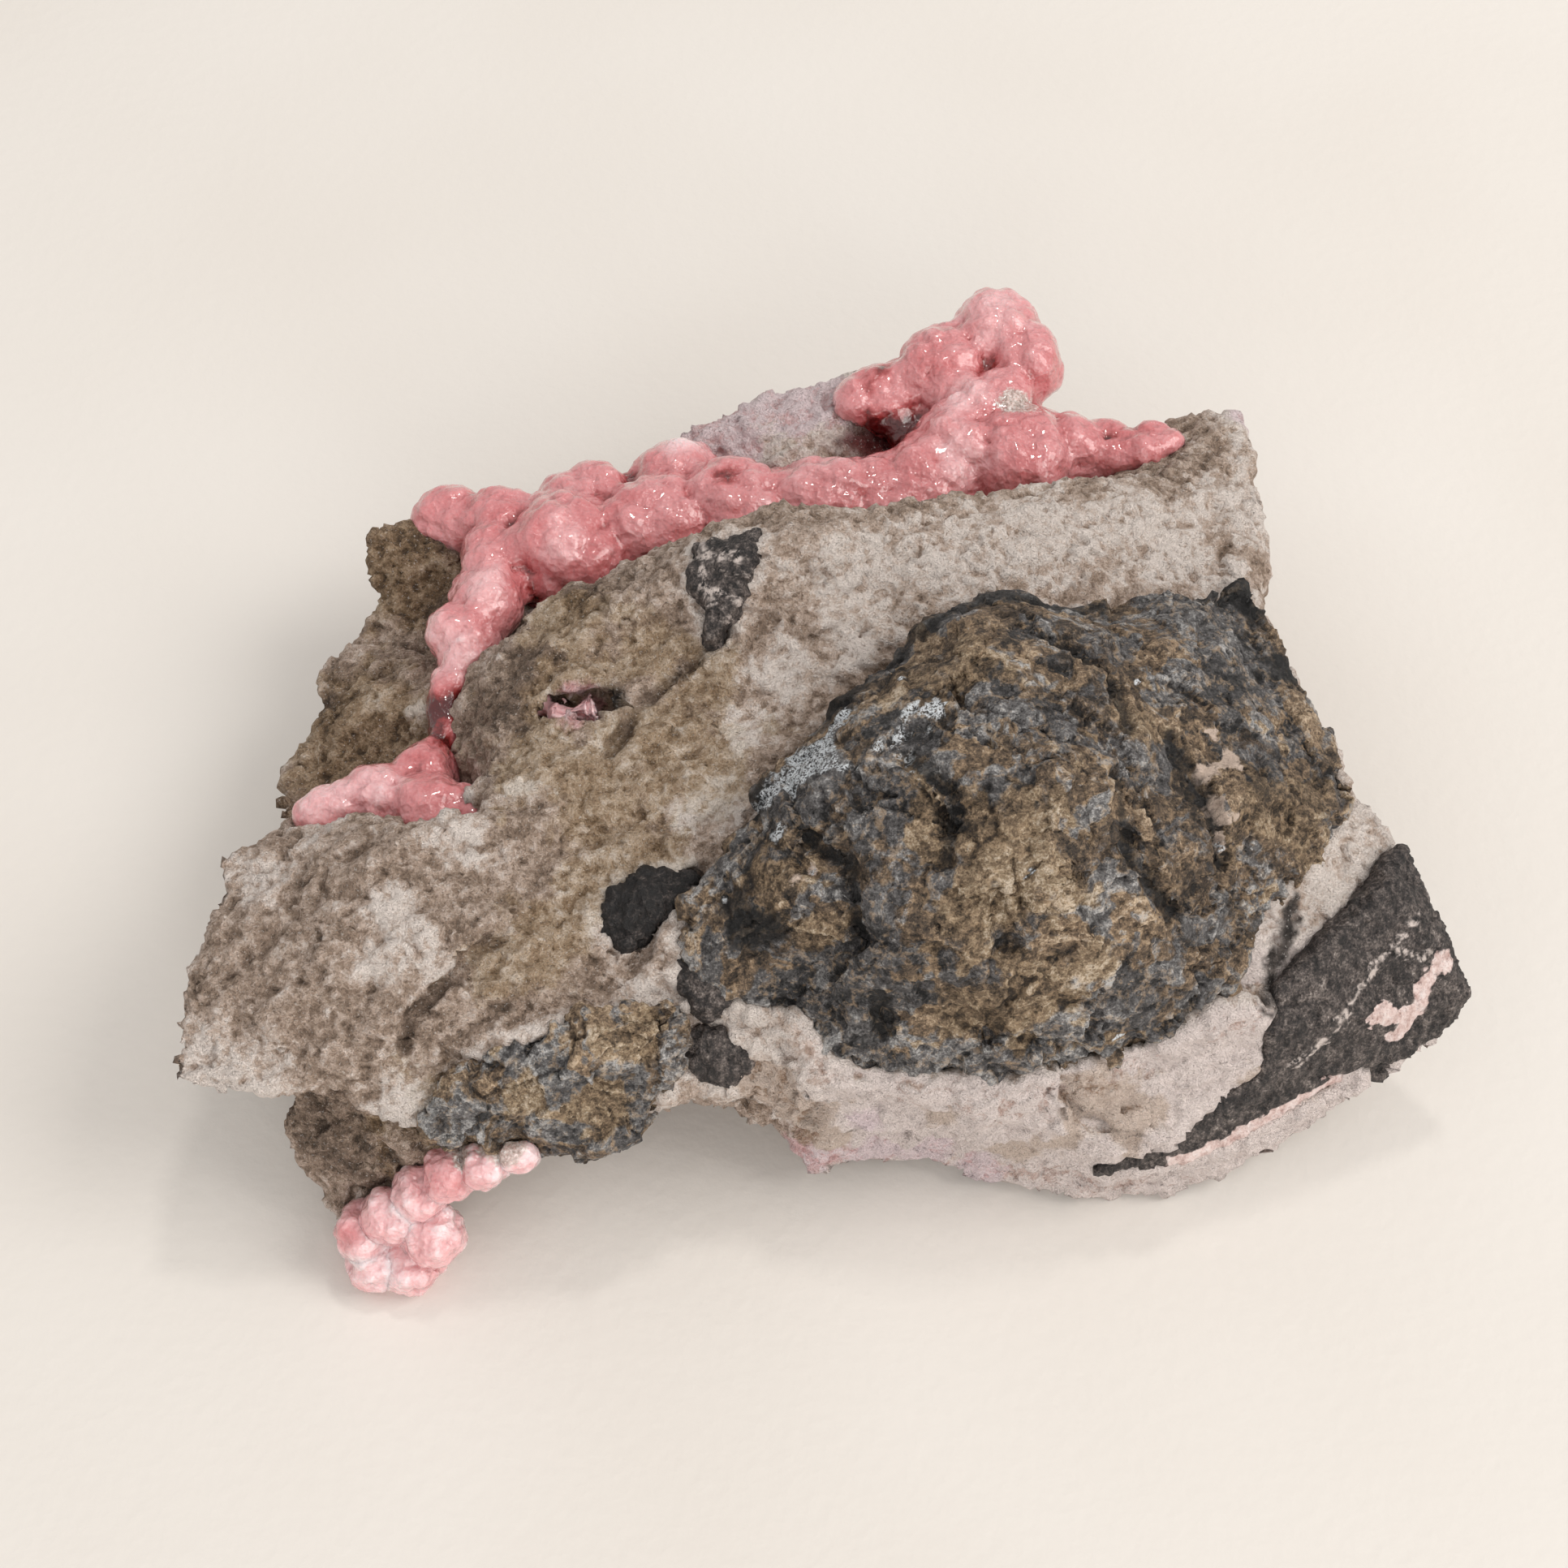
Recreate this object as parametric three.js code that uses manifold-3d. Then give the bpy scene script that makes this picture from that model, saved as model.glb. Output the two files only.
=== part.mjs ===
// Rhodochrosite specimen: a hand-sized broken piece of vein breccia. A pale vein rock holds dark
// fragments of wall rock, and pink rhodochrosite lines its open pockets in botryoidal crusts.
//
// Millimetres, +Z up. The specimen rests on z = 0 on three small flats, its long side along X and
// its broken front towards -Y. The origin is under the middle of its bounding box.

import * as THREE from "three";
import { ConvexGeometry } from "three/addons/geometries/ConvexGeometry.js";
import { mergeVertices } from "three/addons/utils/BufferGeometryUtils.js";
import { ImprovedNoise } from "three/addons/math/ImprovedNoise.js";
import Module from "manifold-3d";

const wasm = await Module();
wasm.setup();

// ---------------------------------------------------------------- driving dimensions

const GAP = 0.3; // clearance that keeps touching pieces apart
const ROUGH = { size: 3.6, height: 0.55 }; // lumps of broken vein rock: their width and height
const CLAST_ROUGH = { size: 4.5, height: 0.4 };
const FLOOR_CUT = { reach: 200, depth: 10 }; // the block that trims the feet flat
const TAPER = 0.86; // size of a fragment's sunk side against its outer edge
const EDGE_BLEND = 0.8; // share of a face beyond which its relief bends to meet its edge

// Rings of vertices across each stretch of a piece, and parts that each side of its edge is cut in.
const VEIN_MESH = { face: 7, brow: 4, wall: 3, underside: 5, parts: 1 };
const DOME_MESH = { face: 7, parts: 1 };
const TONGUE_MESH = { face: 3, parts: 2 };
const CHIP_MESH = { face: 2, parts: 2 };
const SUNK_MESH = { wall: 2, underside: 2 };
const LOBE_MESH = { around: 6, high: 5 };

// ---------------------------------------------------------------- the vein rock's outline and relief

const CENTRE = [0, -8]; // every outline below is star-shaped around a point like this one

// Edge of the upper face, clockwise from the left tip.
const UPPER_EDGE = [
  [-30.5, -18.5, 12], [-30.5, -14.5, 13], [-29, -10, 13.5], [-29, -7, 14], [-26.5, -4.5, 12.5],
  [-27, -1.6, 10.8], [-27.5, 1.5, 9], [-26, 5, 9], [-26, 8, 9], [-24, 10.5, 9], [-22.8, 12.2, 9.5],
  [-23.6, 13.8, 11], [-24, 15.5, 12], [-21.5, 16.5, 11.5], [-18, 17, 9.5], [-14, 18.5, 9.5],
  [-10, 20, 10], [-5.5, 23, 12], [-0.5, 25.5, 12], [4.5, 27.6, 12], [8, 28.2, 12],
  [11.5, 28.8, 11.8], [14.2, 26.4, 11], [16, 23.4, 10.2], [18.4, 22, 11], [21.6, 22.2, 13.2],
  [26, 22.5, 14],
  [26.5, 17, 14], [27, 11.5, 14], [26, 9, 14], [27.5, 2.5, 14.5], [28.5, -1, 14.5],
  [30.5, -4.5, 14.5], [31.5, -6, 13.5], [34, -9.5, 10.5], [35.5, -12, 8.5], [35, -12.5, 6.5],
  [32, -14.5, 5], [27.5, -16.5, 4.5], [23, -18.5, 5.5], [19, -19, 7], [14.5, -18.9, 9.6],
  [12, -19.1, 10], [9, -19, 10.2], [5, -18.8, 10.6], [1.5, -18, 11.2], [-1.5, -16.8, 11],
  [-4.5, -17.5, 9.5], [-7, -18.5, 9], [-9, -19.5, 8.5], [-13, -19.5, 9], [-16.5, -19.5, 9.5],
  [-18.5, -20, 10], [-20.5, -19.5, 10.5], [-23, -18.5, 11.5], [-26.5, -19, 11.5],
];

// The break of slope inside that edge: the crest in front of the back pocket, the brow over the
// left pocket and the shoulders above the broken sides.
const SHOULDER = [
  [-25.5, -13, 14.4], [-26, -8, 14.4], [-25, -5, 13.8], [-22.6, -3.8, 14], [-18.6, -4.4, 14.6],
  [-15.6, -4.4, 15.1], [-14.4, -2.4, 15.4], [-16, 2.2, 14.8], [-14.2, 5.2, 16],
  [-11.6, 7.8, 17], [-7.4, 9.4, 18], [-3.4, 10.8, 19], [1.5, 11.6, 19.3], [6, 12, 19],
  [10.5, 13.4, 18], [15, 15.2, 17], [19.5, 16.6, 16], [24.6, 18.2, 15], [25, 12, 15.2],
  [26, 2, 15], [28.8, -5.5, 15], [30, -11, 11.5], [23, -15, 12.6], [14, -17.4, 11.6], [4, -17, 12.4],
  [-3, -15, 13], [-9, -16.4, 13.6], [-15, -17, 13.2], [-21, -17, 13.4],
];

// Edge of the underside, in the same order.
const LOWER_EDGE = [
  [-26.5, -17.5, 9.5], [-25.5, -11, 9], [-23, -4, 6.5], [-22.5, 3, 4], [-20.5, 10, 3],
  [-16, 14.5, 2.5], [-8, 18.5, 2.5], [0, 22, 3], [8, 23, 3], [16, 19.5, 3],
  [23, 18, 3.5], [24.5, 10, 3.5], [26, 2, 4], [29, -4, 5], [32, -9.5, 4.5],
  [31, -14, 3], [27.5, -17, 2], [23, -19, 0.8], [18.5, -20.5, -0.3], [14.5, -19.5, 0],
  [9, -18, 1.5], [4, -18.5, 2.5], [1.5, -19, 2.5], [-1, -17, 3.5], [-5, -15.5, 5],
  [-12, -16, 6], [-18, -16.5, 7], [-22, -16.5, 8.5],
];

// Spot heights of the upper face.
const TOP_SPOTS = [
  // the flat left wing
  [-27, -14, 14.2], [-25, -9.5, 15], [-21, -8.6, 15.8], [-15, -8.5, 15.8],
  [-20.5, -14.5, 15], [-16.5, -15.5, 13.8], [-22.5, -18, 12.5], [-15, -12, 15.2],
  // the hollow that sweeps from the wing up to the rim of the back pocket
  [-11, -9, 15], [-12.5, -15, 13.6], [-8.5, -13.5, 14], [-7, -10, 15], [-5, -6.5, 15.6],
  [-11, -3.5, 16.3], [-7, -1, 16.6], [-3, 1, 17.2], [1.5, 4, 18.2], [-9, 3, 16.6],
  [-5, 5.5, 18], [5.5, 7.5, 19], [14.5, 9.5, 18], [21.5, 12, 16.3],
  // the floor of the back pocket behind it
  [-16, 8, 10], [-12, 11.5, 10.5], [-5, 13.5, 11], [2, 15, 11.5], [9, 16.5, 11], [16, 18.5, 10.5],
  [-15, 15, 8.5], [-7, 17.5, 9], [9, 22, 10.5],
  // the block behind the pocket
  [-2, 21, 12.5], [3, 22.5, 13], [4, 25.5, 12.5],
  // the left pocket, the lobe behind it and the corner block
  [-23.5, -2, 11], [-19, -2, 9.5], [-16, -2.5, 10.5], [-23, 3, 10.5], [-20, 6, 11.5], [-18, 2.5, 12],
  [-21, 10.5, 9.5], [-21.5, 14.5, 11.5], [-18.5, 13, 12],
  // under the dark fragment
  [10, -4, 17], [20, -4, 15.5], [8, -12, 14], [20, -12, 12.5],
];

// Spot heights of the underside. The two lowest are feet.
const BOTTOM_SPOTS = [
  [17.5, -18, -0.4], [3, 14, -0.5], [4, 11, -0.4], [1, 16, -0.2], [-8, 6, 1.8], [12, 6, 1.5],
  [18, -6, 1.6], [6, -8, 1.8], [-6, -6, 3.2], [-15, -8, 6], [-15, 4, 3.5], [18, 10, 2.2],
];

// Broken blocks under the left wing, by their corners.
const LOWER_BLOCK = [
  [-24.5, -17, 10.5], [-26, -18.5, 6.5], [-24.5, -20, 4], [-23.5, -21.8, 1.6], [-20.5, -20.8, 4.5],
  [-19, -20, 8.5], [-13, -19.5, 7], [-14, -14, 2.5], [-20, -14, 1.6], [-22.5, -17, 1.4],
  [-18, -12, 9], [-23, -13, 9],
];
const REAR_BLOCK = [
  [-26.5, -17, 10], [-27, -16.5, 6.5], [-24, -16, 3.5], [-22, -12, 3.5], [-20, -10, 9], [-25, -12, 10],
];

// ---------------------------------------------------------------- the dark wall-rock fragments

// Each is a lens let into the vein rock: its edge, spot heights on its outer face and its depth.
const DOME = {
  centre: [13, -6],
  edge: [
    [-1.5, -5.5, 18], [1.5, -2.5, 19.3], [5.5, 1.5, 19.8], [7.5, 3.8, 20], [11.5, 5.4, 19.6],
    [17.5, 5.6, 18.2], [20, 7.2, 17.8], [23, 7.5, 17], [24.8, 9.2, 16.2], [26, 6.5, 15.5],
    [27.3, 2, 15.5], [28.7, -1.5, 15.5], [29.2, -4.5, 15.3], [26.2, -7.8, 15.2], [24.2, -10, 15],
    [23.4, -12.8, 13.9], [22.2, -14.3, 12.9], [18.8, -16.2, 12], [15, -17.4, 11.7],
    [11, -17.9, 11.4], [7.5, -17.6, 11.7], [3, -17.4, 12], [0.6, -15.6, 12.9], [-2.5, -14.8, 13.8],
    [-4.8, -13.2, 14.4],
    [-4.8, -11, 16], [-2.8, -8.5, 17], [-1, -7, 17.8],
  ],
  spots: [
    [10.5, -9, 23.8], [7, -6, 23.4], [13.5, -12, 22], [18.5, -9.5, 21], [21.5, -3, 20],
    [15.5, -1, 22.2], [9, -14.5, 19.6], [4.5, -11, 21.2], [15, -15.5, 17.2], [2, -12.8, 18.4],
    [20, -13, 17.6], [24.4, 1, 18.2], [12, 3, 21.3], [4, -3.5, 21.8], [6, -16.8, 15.2],
    [11, -17.2, 14.8], [-0.6, -10, 19.2], [0.6, -7.4, 20.2], [24, -7.6, 18.4], [25.8, -3.6, 18],
    [22, 5, 18.8], [8, 1.4, 21.8],
  ],
  depth: 4,
};

const TONGUE = {
  centre: [-10.5, -18],
  edge: [
    [-18, -20.6, 10.8], [-16.5, -19, 12.2], [-14, -17.5, 13.4], [-10.5, -16.4, 14.2],
    [-7.5, -15.6, 14.6], [-5.6, -15.4, 14.4], [-5, -17.6, 12], [-7, -19.4, 9.6], [-9.5, -20.4, 8.8],
    [-13, -20.6, 8.8], [-16.5, -20.6, 9.4],
  ],
  spots: [[-11, -18.4, 13.4], [-14, -19, 12.4], [-8, -17.6, 13.6]],
  depth: 2.2,
};

// Small dark chips that lie nearly flush in the faces of the vein rock.
const CHIPS = {
  wall_rock_chip_left: {
    centre: [-6.8, -10.4],
    edge: [
      [-9, -11.7, 14.5], [-8.5, -9.8, 15], [-6.9, -8.8, 15.2], [-4.7, -8.6, 15.3], [-4.4, -9.3, 15.2],
      [-6, -10.9, 14.9], [-7.8, -12.2, 14.4],
    ],
    spots: [[-6.8, -10.4, 15.4]],
    depth: 1.6,
  },
  wall_rock_chip_back: {
    centre: [-3, 7],
    edge: [
      [-4.5, 8.6, 19.6], [-1.3, 9, 20.6], [-1.4, 7.6, 20.5], [-2.6, 5.2, 19.6], [-3.9, 3.4, 18.8],
      [-3.7, 5.4, 19.3], [-4.7, 6.6, 19.3],
    ],
    spots: [[-3, 7, 20.3]],
    depth: 1.4,
  },
  wall_rock_chip_front: {
    centre: [-3.9, -13.4],
    edge: [
      [-5.3, -13.2, 14.4], [-4.3, -12.4, 14.6], [-3.3, -13.4, 14.4], [-3, -14.8, 13.8],
      [-3.9, -15.3, 13.4], [-4.9, -14.6, 13.8],
    ],
    spots: [[-4, -13.9, 14.6]],
    depth: 1.3,
  },
  wall_rock_chip_low: {
    centre: [-3.6, -16.3],
    edge: [
      [-4.8, -15.8, 11.9], [-3.4, -15.9, 12], [-1.7, -17, 10.9], [-2.6, -17.5, 10.2], [-4.6, -17.1, 10.6],
    ],
    spots: [[-3.5, -16.6, 11.6]],
    depth: 1.3,
  },
};

// The slate wedge at the right and the tail that runs from it along the front, by their corners.
const WEDGE = [
  [24.8, -13.8, 12.6], [27, -12.2, 13.7], [30.6, -9.2, 14.6], [31.7, -6.6, 14.3], [33.8, -9.5, 11],
  [35.5, -12, 8.7], [35, -12.7, 6.8], [32.2, -14.4, 6], [30.4, -13.4, 9.4], [27.5, -15.6, 6.6],
  [24.2, -16.8, 8.2], [24.6, -15.6, 11], [28, -9, 8], [31, -8, 6],
];
const WEDGE_TAIL = [
  [16.2, -20, 4], [19.8, -19.1, 5.6], [24.4, -16.6, 8.6], [28.2, -14.6, 7.4], [29, -15.4, 5.6],
  [25, -17.3, 4.7], [21, -19.3, 4], [18.4, -17.8, 4.6], [25, -14.6, 5],
];
const TIP_CHIP = [
  [30.3, -12.6, 6.4], [31.6, -12.4, 6.2], [30.5, -14.6, 5.6], [31.7, -14.4, 5.4], [30.6, -14.9, 4.4],
  [31.6, -14.6, 4.2], [30.4, -12.4, 4.2], [31.5, -12.4, 4.2],
];

// ---------------------------------------------------------------- the rhodochrosite crusts

// Each crust is a run of lobes grown into one another: [x, y, z, radius], and where a lobe is longer
// one way, how many times longer and the heading of that way in degrees from +X.

// The crust that lines the back pocket, from its left end to its right.
const POCKET = [
  // the drape over the left corner and the strand that hangs from it
  [-19.2, 16.8, 11.2, 1.5, 1.4, 10], [-16.2, 16, 12, 1.9], [-15.9, 13.2, 12.4, 1.7, 1.3, 95],
  [-16.4, 10.2, 12.7, 1.6, 1.3, 85], [-17.6, 7.6, 12.7, 1.8],
  // the left lobes
  [-12.2, 13.9, 12.2, 3.1, 1.1, 60], [-11.2, 17.4, 11.9, 2, 1.6, 20],
  // the middle run
  [-7.4, 15.4, 12.5, 2.5, 1.4, 25], [-2.6, 16.6, 12.9, 2.3, 1.6, 10], [2.4, 17, 13.2, 2.1, 1.5, 0],
  [6, 17.2, 13, 2.1, 1.2, 0], [-6.4, 19.6, 12, 1.6, 1.5, 30],
  // the large lobes right of the dark hollow
  [8.2, 18.4, 12.8, 2.5], [10, 20.4, 13.2, 2.6], [13.6, 19.6, 13.1, 2.9], [15.8, 20.6, 12.6, 2.3],
  [11.8, 23, 13, 2.8],
  // the ridge that climbs to the peak
  [5.4, 24.6, 12.5, 1.7, 1.6, 25], [9.4, 26.4, 13.5, 2.1, 1.5, 30], [12.4, 28.6, 14.1, 2.2],
  [13.9, 26.4, 13.8, 2],
  // the strip along the right rim
  [18.4, 20.2, 13, 1.6, 1.4, 0], [21.2, 20, 13.7, 1.3, 1.5, 5],
  // the sheet of crust below them all
  [-12.4, 14.2, 9.8, 3], [-5.6, 16.8, 10, 3], [1, 17.8, 10, 3], [8.8, 21, 10.2, 3.6],
];

// The seam that runs on from it down the left side and opens into the left pocket.
const SEAM = [
  [-18.2, 5.2, 12.4, 1.2], [-18.3, 3.6, 12.1, 1], [-18.4, 2, 11.9, 1], [-18.8, 0.4, 11.8, 1.1],
  [-19.3, -1.2, 12, 1.4],
  [-21.4, -2.6, 12.8, 1.3, 1.4, 170], [-23.6, -3.1, 12.9, 1.2, 1.7, 20], [-18.4, -3.7, 12.9, 1.7],
  [-16.4, -4.5, 12.9, 1.4],
];
const LOWER_CLUSTER = [
  [-13.4, -20.2, 8, 1.1], [-15.2, -20.8, 7.4, 1.2], [-17, -21.2, 6.6, 1.3], [-18.6, -21.6, 5.4, 1.3],
  [-20.2, -22.2, 4, 1.5], [-21.8, -22.6, 2.8, 1.3], [-18.2, -23, 3.2, 1.5], [-19.4, -23.6, 1.2, 1.6],
  [-21.2, -23.6, 1.3, 1.4],
];
const SMALL_VUG = [[-10.2, 0.8, 15.9, 1.2], [-11.7, 0.7, 15.6, 1.1], [-12.6, 1.6, 15.3, 0.8]];

// Open hollows: the dark gap in the back crust, the mouth of the left pocket, with the notch where
// the rim beside it has broken away, and the pit of the small vug.
const POCKET_HOLLOW = [[6, 21.4, 14, 1.7], [6.2, 20.2, 15.4, 1.5]];
const LEFT_MOUTH = [[-18.4, -4.6, 15.6, 2, 1.3, 0], [-16.4, -4.8, 15.2, 1.5], [-20.2, -3.8, 15.2, 1.7]];
const VUG_PIT = [[-8.9, 1.1, 15.7, 0.9]];

// ---------------------------------------------------------------- materials

const finish = (color, roughness) => new THREE.MeshStandardMaterial({ color, roughness, metalness: 0 });
const VEIN = finish(0xa78f7c, 0.85);
const WALL_ROCK = finish(0x4e453b, 0.7);
const SLATE = finish(0x4b4542, 0.75);
const PINK = finish(0xd08c90, 0.35);

// ---------------------------------------------------------------- helpers: numbers

const noise = new ImprovedNoise();
const mix = (a, b, t) => a + (b - a) * t;

// A smooth surface z(x, y) through every [x, y, z] spot, as a thin plate bends: a kernel at each
// spot plus a plane, whose weights come from Gaussian elimination.
function thinPlate(spots) {
  const kernel = (d2) => (d2 > 0 ? 0.5 * d2 * Math.log(d2) : 0);
  const count = spots.length;
  const size = count + 3;
  const rows = Array.from({ length: size }, () => new Float64Array(size + 1));
  spots.forEach(([x, y, z], i) => {
    spots.forEach(([u, v], j) => (rows[i][j] = kernel((x - u) ** 2 + (y - v) ** 2)));
    [1, x, y].forEach((term, k) => (rows[i][count + k] = rows[count + k][i] = term));
    rows[i][size] = z;
  });
  for (let c = 0; c < size; c++) {
    let best = c;
    for (let r = c + 1; r < size; r++) if (Math.abs(rows[r][c]) > Math.abs(rows[best][c])) best = r;
    [rows[c], rows[best]] = [rows[best], rows[c]];
    for (let r = 0; r < size; r++) {
      if (r === c) continue;
      const f = rows[r][c] / rows[c][c];
      for (let k = c; k <= size; k++) rows[r][k] -= f * rows[c][k];
    }
  }
  const weight = rows.map((row, i) => row[size] / row[i]);
  return (x, y) =>
    spots.reduce((sum, [u, v], j) => sum + weight[j] * kernel((x - u) ** 2 + (y - v) ** 2), 0) +
    weight[count] + weight[count + 1] * x + weight[count + 2] * y;
}

// An outline of [x, y, z] points as a function of the angle round a centre, straight between points.
function edgeByAngle(points, [cx, cy]) {
  const turns = points
    .map((p) => ({ angle: Math.atan2(p[1] - cy, p[0] - cx), p }))
    .sort((a, b) => a.angle - b.angle);
  const first = turns[0];
  const last = turns[turns.length - 1];
  const ring = [
    { angle: last.angle - 2 * Math.PI, p: last.p },
    ...turns,
    { angle: first.angle + 2 * Math.PI, p: first.p },
  ];
  return (angle) => {
    const k = ring.findIndex((turn) => turn.angle > angle);
    const [a, b] = [ring[k - 1].p, ring[k].p];
    // where the ray at this angle crosses the straight line from a to b
    const [dx, dy] = [Math.cos(angle), Math.sin(angle)];
    const cross = (u, v) => u * dy - v * dx;
    const t = cross(a[0] - cx, a[1] - cy) / (cross(a[0] - cx, a[1] - cy) - cross(b[0] - cx, b[1] - cy));
    return a.map((value, axis) => mix(value, b[axis], t));
  };
}

// ---------------------------------------------------------------- helpers: geometry

// Only positions, with shared vertices merged, as a closed mesh.
function closed(geometry) {
  geometry.deleteAttribute("normal");
  geometry.deleteAttribute("uv");
  return mergeVertices(geometry, 1e-4);
}

// Moves every vertex out by grow plus a lump of noise, so a broken face is never quite flat.
function roughen(geometry, { size, height }, grow) {
  geometry.computeVertexNormals();
  const { position, normal } = geometry.attributes;
  const p = new THREE.Vector3();
  const n = new THREE.Vector3();
  for (let i = 0; i < position.count; i++) {
    p.fromBufferAttribute(position, i);
    n.fromBufferAttribute(normal, i);
    const lump = noise.noise(p.x / size, p.y / size, p.z / size);
    p.addScaledVector(n, height * lump + grow);
    position.setXYZ(i, p.x, p.y, p.z);
  }
  geometry.deleteAttribute("normal");
  return geometry;
}

function solid(geometry) {
  return new wasm.Manifold(
    new wasm.Mesh({
      numProp: 3,
      vertProperties: new Float32Array(geometry.attributes.position.array),
      triVerts: new Uint32Array(geometry.index.array),
    }),
  );
}

// The angles round a centre at which an outline has its corners, each side cut in as many parts.
function anglesOf(points, centre, parts) {
  const corners = points.map(([x, y]) => Math.atan2(y - centre[1], x - centre[0])).sort((a, b) => a - b);
  const next = [...corners.slice(1), corners[0] + 2 * Math.PI];
  return corners.flatMap((corner, k) =>
    Array.from({ length: parts }, (_, part) => mix(corner, next[k], part / parts)));
}

// A slab as a sphere whose rows are laid along the upper face, down the wall and back under the
// underside. Each row is the function from an angle to its [x, y, z].
function slab(angles, rows) {
  const around = angles.length;
  const sphere = new THREE.SphereGeometry(1, around, rows.length - 1);
  const position = sphere.attributes.position;
  rows.forEach((row, k) => {
    for (let step = 0; step <= around; step++) {
      position.setXYZ(k * (around + 1) + step, ...row(angles[step % around]));
    }
  });
  return closed(sphere);
}

// Rows of a face that follows its relief from one ring of points to the next, or from the centre
// to a ring, and meets the last ring exactly.
function faceRows(inner, outer, relief, count) {
  return Array.from({ length: count }, (_, k) => (angle) => {
    const share = (k + 1) / count;
    const [from, to] = [inner(angle), outer(angle)];
    const [x, y] = [mix(from[0], to[0], share), mix(from[1], to[1], share)];
    return [x, y, mix(relief(x, y), to[2], THREE.MathUtils.smoothstep(share, EDGE_BLEND, 1))];
  });
}

// Straight rows from one ring of points down to the next.
function wallRows(upper, lower, count) {
  return Array.from({ length: count - 1 }, (_, k) => (angle) => {
    const [from, to] = [upper(angle), lower(angle)];
    return from.map((value, axis) => mix(value, to[axis], (k + 1) / count));
  });
}

// A fragment of wall rock, let into the vein rock by its depth. Its underside is a little smaller.
function lens({ centre, edge, spots, depth }, { face, parts }, grow) {
  const sunk = edge.map(([x, y, z]) => [mix(centre[0], x, TAPER), mix(centre[1], y, TAPER), z - depth]);
  const upper = edgeByAngle(edge, centre);
  const lower = edgeByAngle(sunk, centre);
  const top = thinPlate([...edge, ...spots]);
  const bottom = thinPlate(sunk);
  const middle = (relief) => () => [...centre, relief(...centre)];
  const rows = [
    middle(top),
    ...faceRows(middle(top), upper, top, face),
    ...wallRows(upper, lower, SUNK_MESH.wall),
    ...faceRows(middle(bottom), lower, bottom, SUNK_MESH.underside).reverse(),
    middle(bottom),
  ];
  return solid(roughen(slab(anglesOf(edge, centre, parts), rows), CLAST_ROUGH, grow));
}

// A block by its corners. To grow it, each corner becomes the eight corners of a small cube.
function block(corners, grow) {
  const sides = grow > 0 ? [-grow, grow] : [0];
  const points = corners.flatMap(([x, y, z]) =>
    sides.flatMap((i) => sides.flatMap((j) => sides.map((k) => new THREE.Vector3(x + i, y + j, z + k)))));
  return solid(closed(new ConvexGeometry(points)));
}

// A crust of lobes grown into one another.
function crust(lobes, grow) {
  return lobes
    .map(([x, y, z, radius, stretch = 1, heading = 0]) => {
      const lobe = new THREE.SphereGeometry(radius + grow, LOBE_MESH.around, LOBE_MESH.high);
      lobe.scale(stretch, 1, 1).rotateZ(THREE.MathUtils.degToRad(heading)).translate(x, y, z);
      return solid(closed(lobe));
    })
    .reduce((whole, lobe) => whole.add(lobe));
}

// The largest body of a cut piece; crumbs cut off beside it are dropped.
const largest = (manifold) => manifold.decompose().sort((a, b) => b.volume() - a.volume())[0];

// What is left of a solid after every cut.
const less = (whole, cuts) => cuts.reduce((left, cut) => left.subtract(cut), whole);

function meshOf(manifold, name, material) {
  const { numProp, numVert, vertProperties, triVerts } = largest(manifold).getMesh();
  const positions = new Float32Array(numVert * 3);
  for (let i = 0; i < numVert; i++) {
    positions.set(vertProperties.subarray(i * numProp, i * numProp + 3), i * 3);
  }
  const geometry = new THREE.BufferGeometry();
  geometry.setAttribute("position", new THREE.BufferAttribute(positions, 3));
  geometry.setIndex(new THREE.BufferAttribute(triVerts, 1));
  geometry.computeVertexNormals();
  const mesh = new THREE.Mesh(geometry, material);
  mesh.name = name;
  return mesh;
}

// ---------------------------------------------------------------- the pieces

// Each fragment as a function of how much it is grown, so that the piece and the slightly larger
// seat cut for it come from one description.
const fragments = {
  wall_rock_dome: { shape: (grow) => lens(DOME, DOME_MESH, grow), material: WALL_ROCK },
  wall_rock_tongue: { shape: (grow) => lens(TONGUE, TONGUE_MESH, grow), material: WALL_ROCK },
  slate_wedge: { shape: (grow) => block(WEDGE, grow).add(block(WEDGE_TAIL, grow)), material: SLATE },
  slate_tip_chip: { shape: (grow) => block(TIP_CHIP, grow), material: SLATE },
};
for (const [name, chip] of Object.entries(CHIPS)) {
  fragments[name] = { shape: (grow) => lens(chip, CHIP_MESH, grow), material: SLATE };
}

// The part of space under z = 0, which trims the feet flat.
const { reach, depth: below } = FLOOR_CUT;
const floor = solid(closed(new THREE.BoxGeometry(reach, reach, below).translate(0, 0, -below / 2)));

// The vein rock before anything is let into it: the slab and its lower blocks.
function rock(grow) {
  const upper = edgeByAngle(UPPER_EDGE, CENTRE);
  const shoulder = edgeByAngle(SHOULDER, CENTRE);
  const lower = edgeByAngle(LOWER_EDGE, CENTRE);
  const top = thinPlate([...UPPER_EDGE, ...SHOULDER, ...TOP_SPOTS]);
  const bottom = thinPlate([...LOWER_EDGE, ...BOTTOM_SPOTS]);
  const middle = (relief) => () => [...CENTRE, relief(...CENTRE)];
  const rows = [
    middle(top),
    ...faceRows(middle(top), shoulder, top, VEIN_MESH.face),
    ...faceRows(shoulder, upper, top, VEIN_MESH.brow),
    ...wallRows(upper, lower, VEIN_MESH.wall),
    ...faceRows(middle(bottom), lower, bottom, VEIN_MESH.underside).reverse(),
    middle(bottom),
  ];
  return solid(roughen(slab(anglesOf(UPPER_EDGE, CENTRE, VEIN_MESH.parts), rows), ROUGH, grow))
    .add(block(LOWER_BLOCK, grow))
    .add(block(REAR_BLOCK, grow));
}

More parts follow.
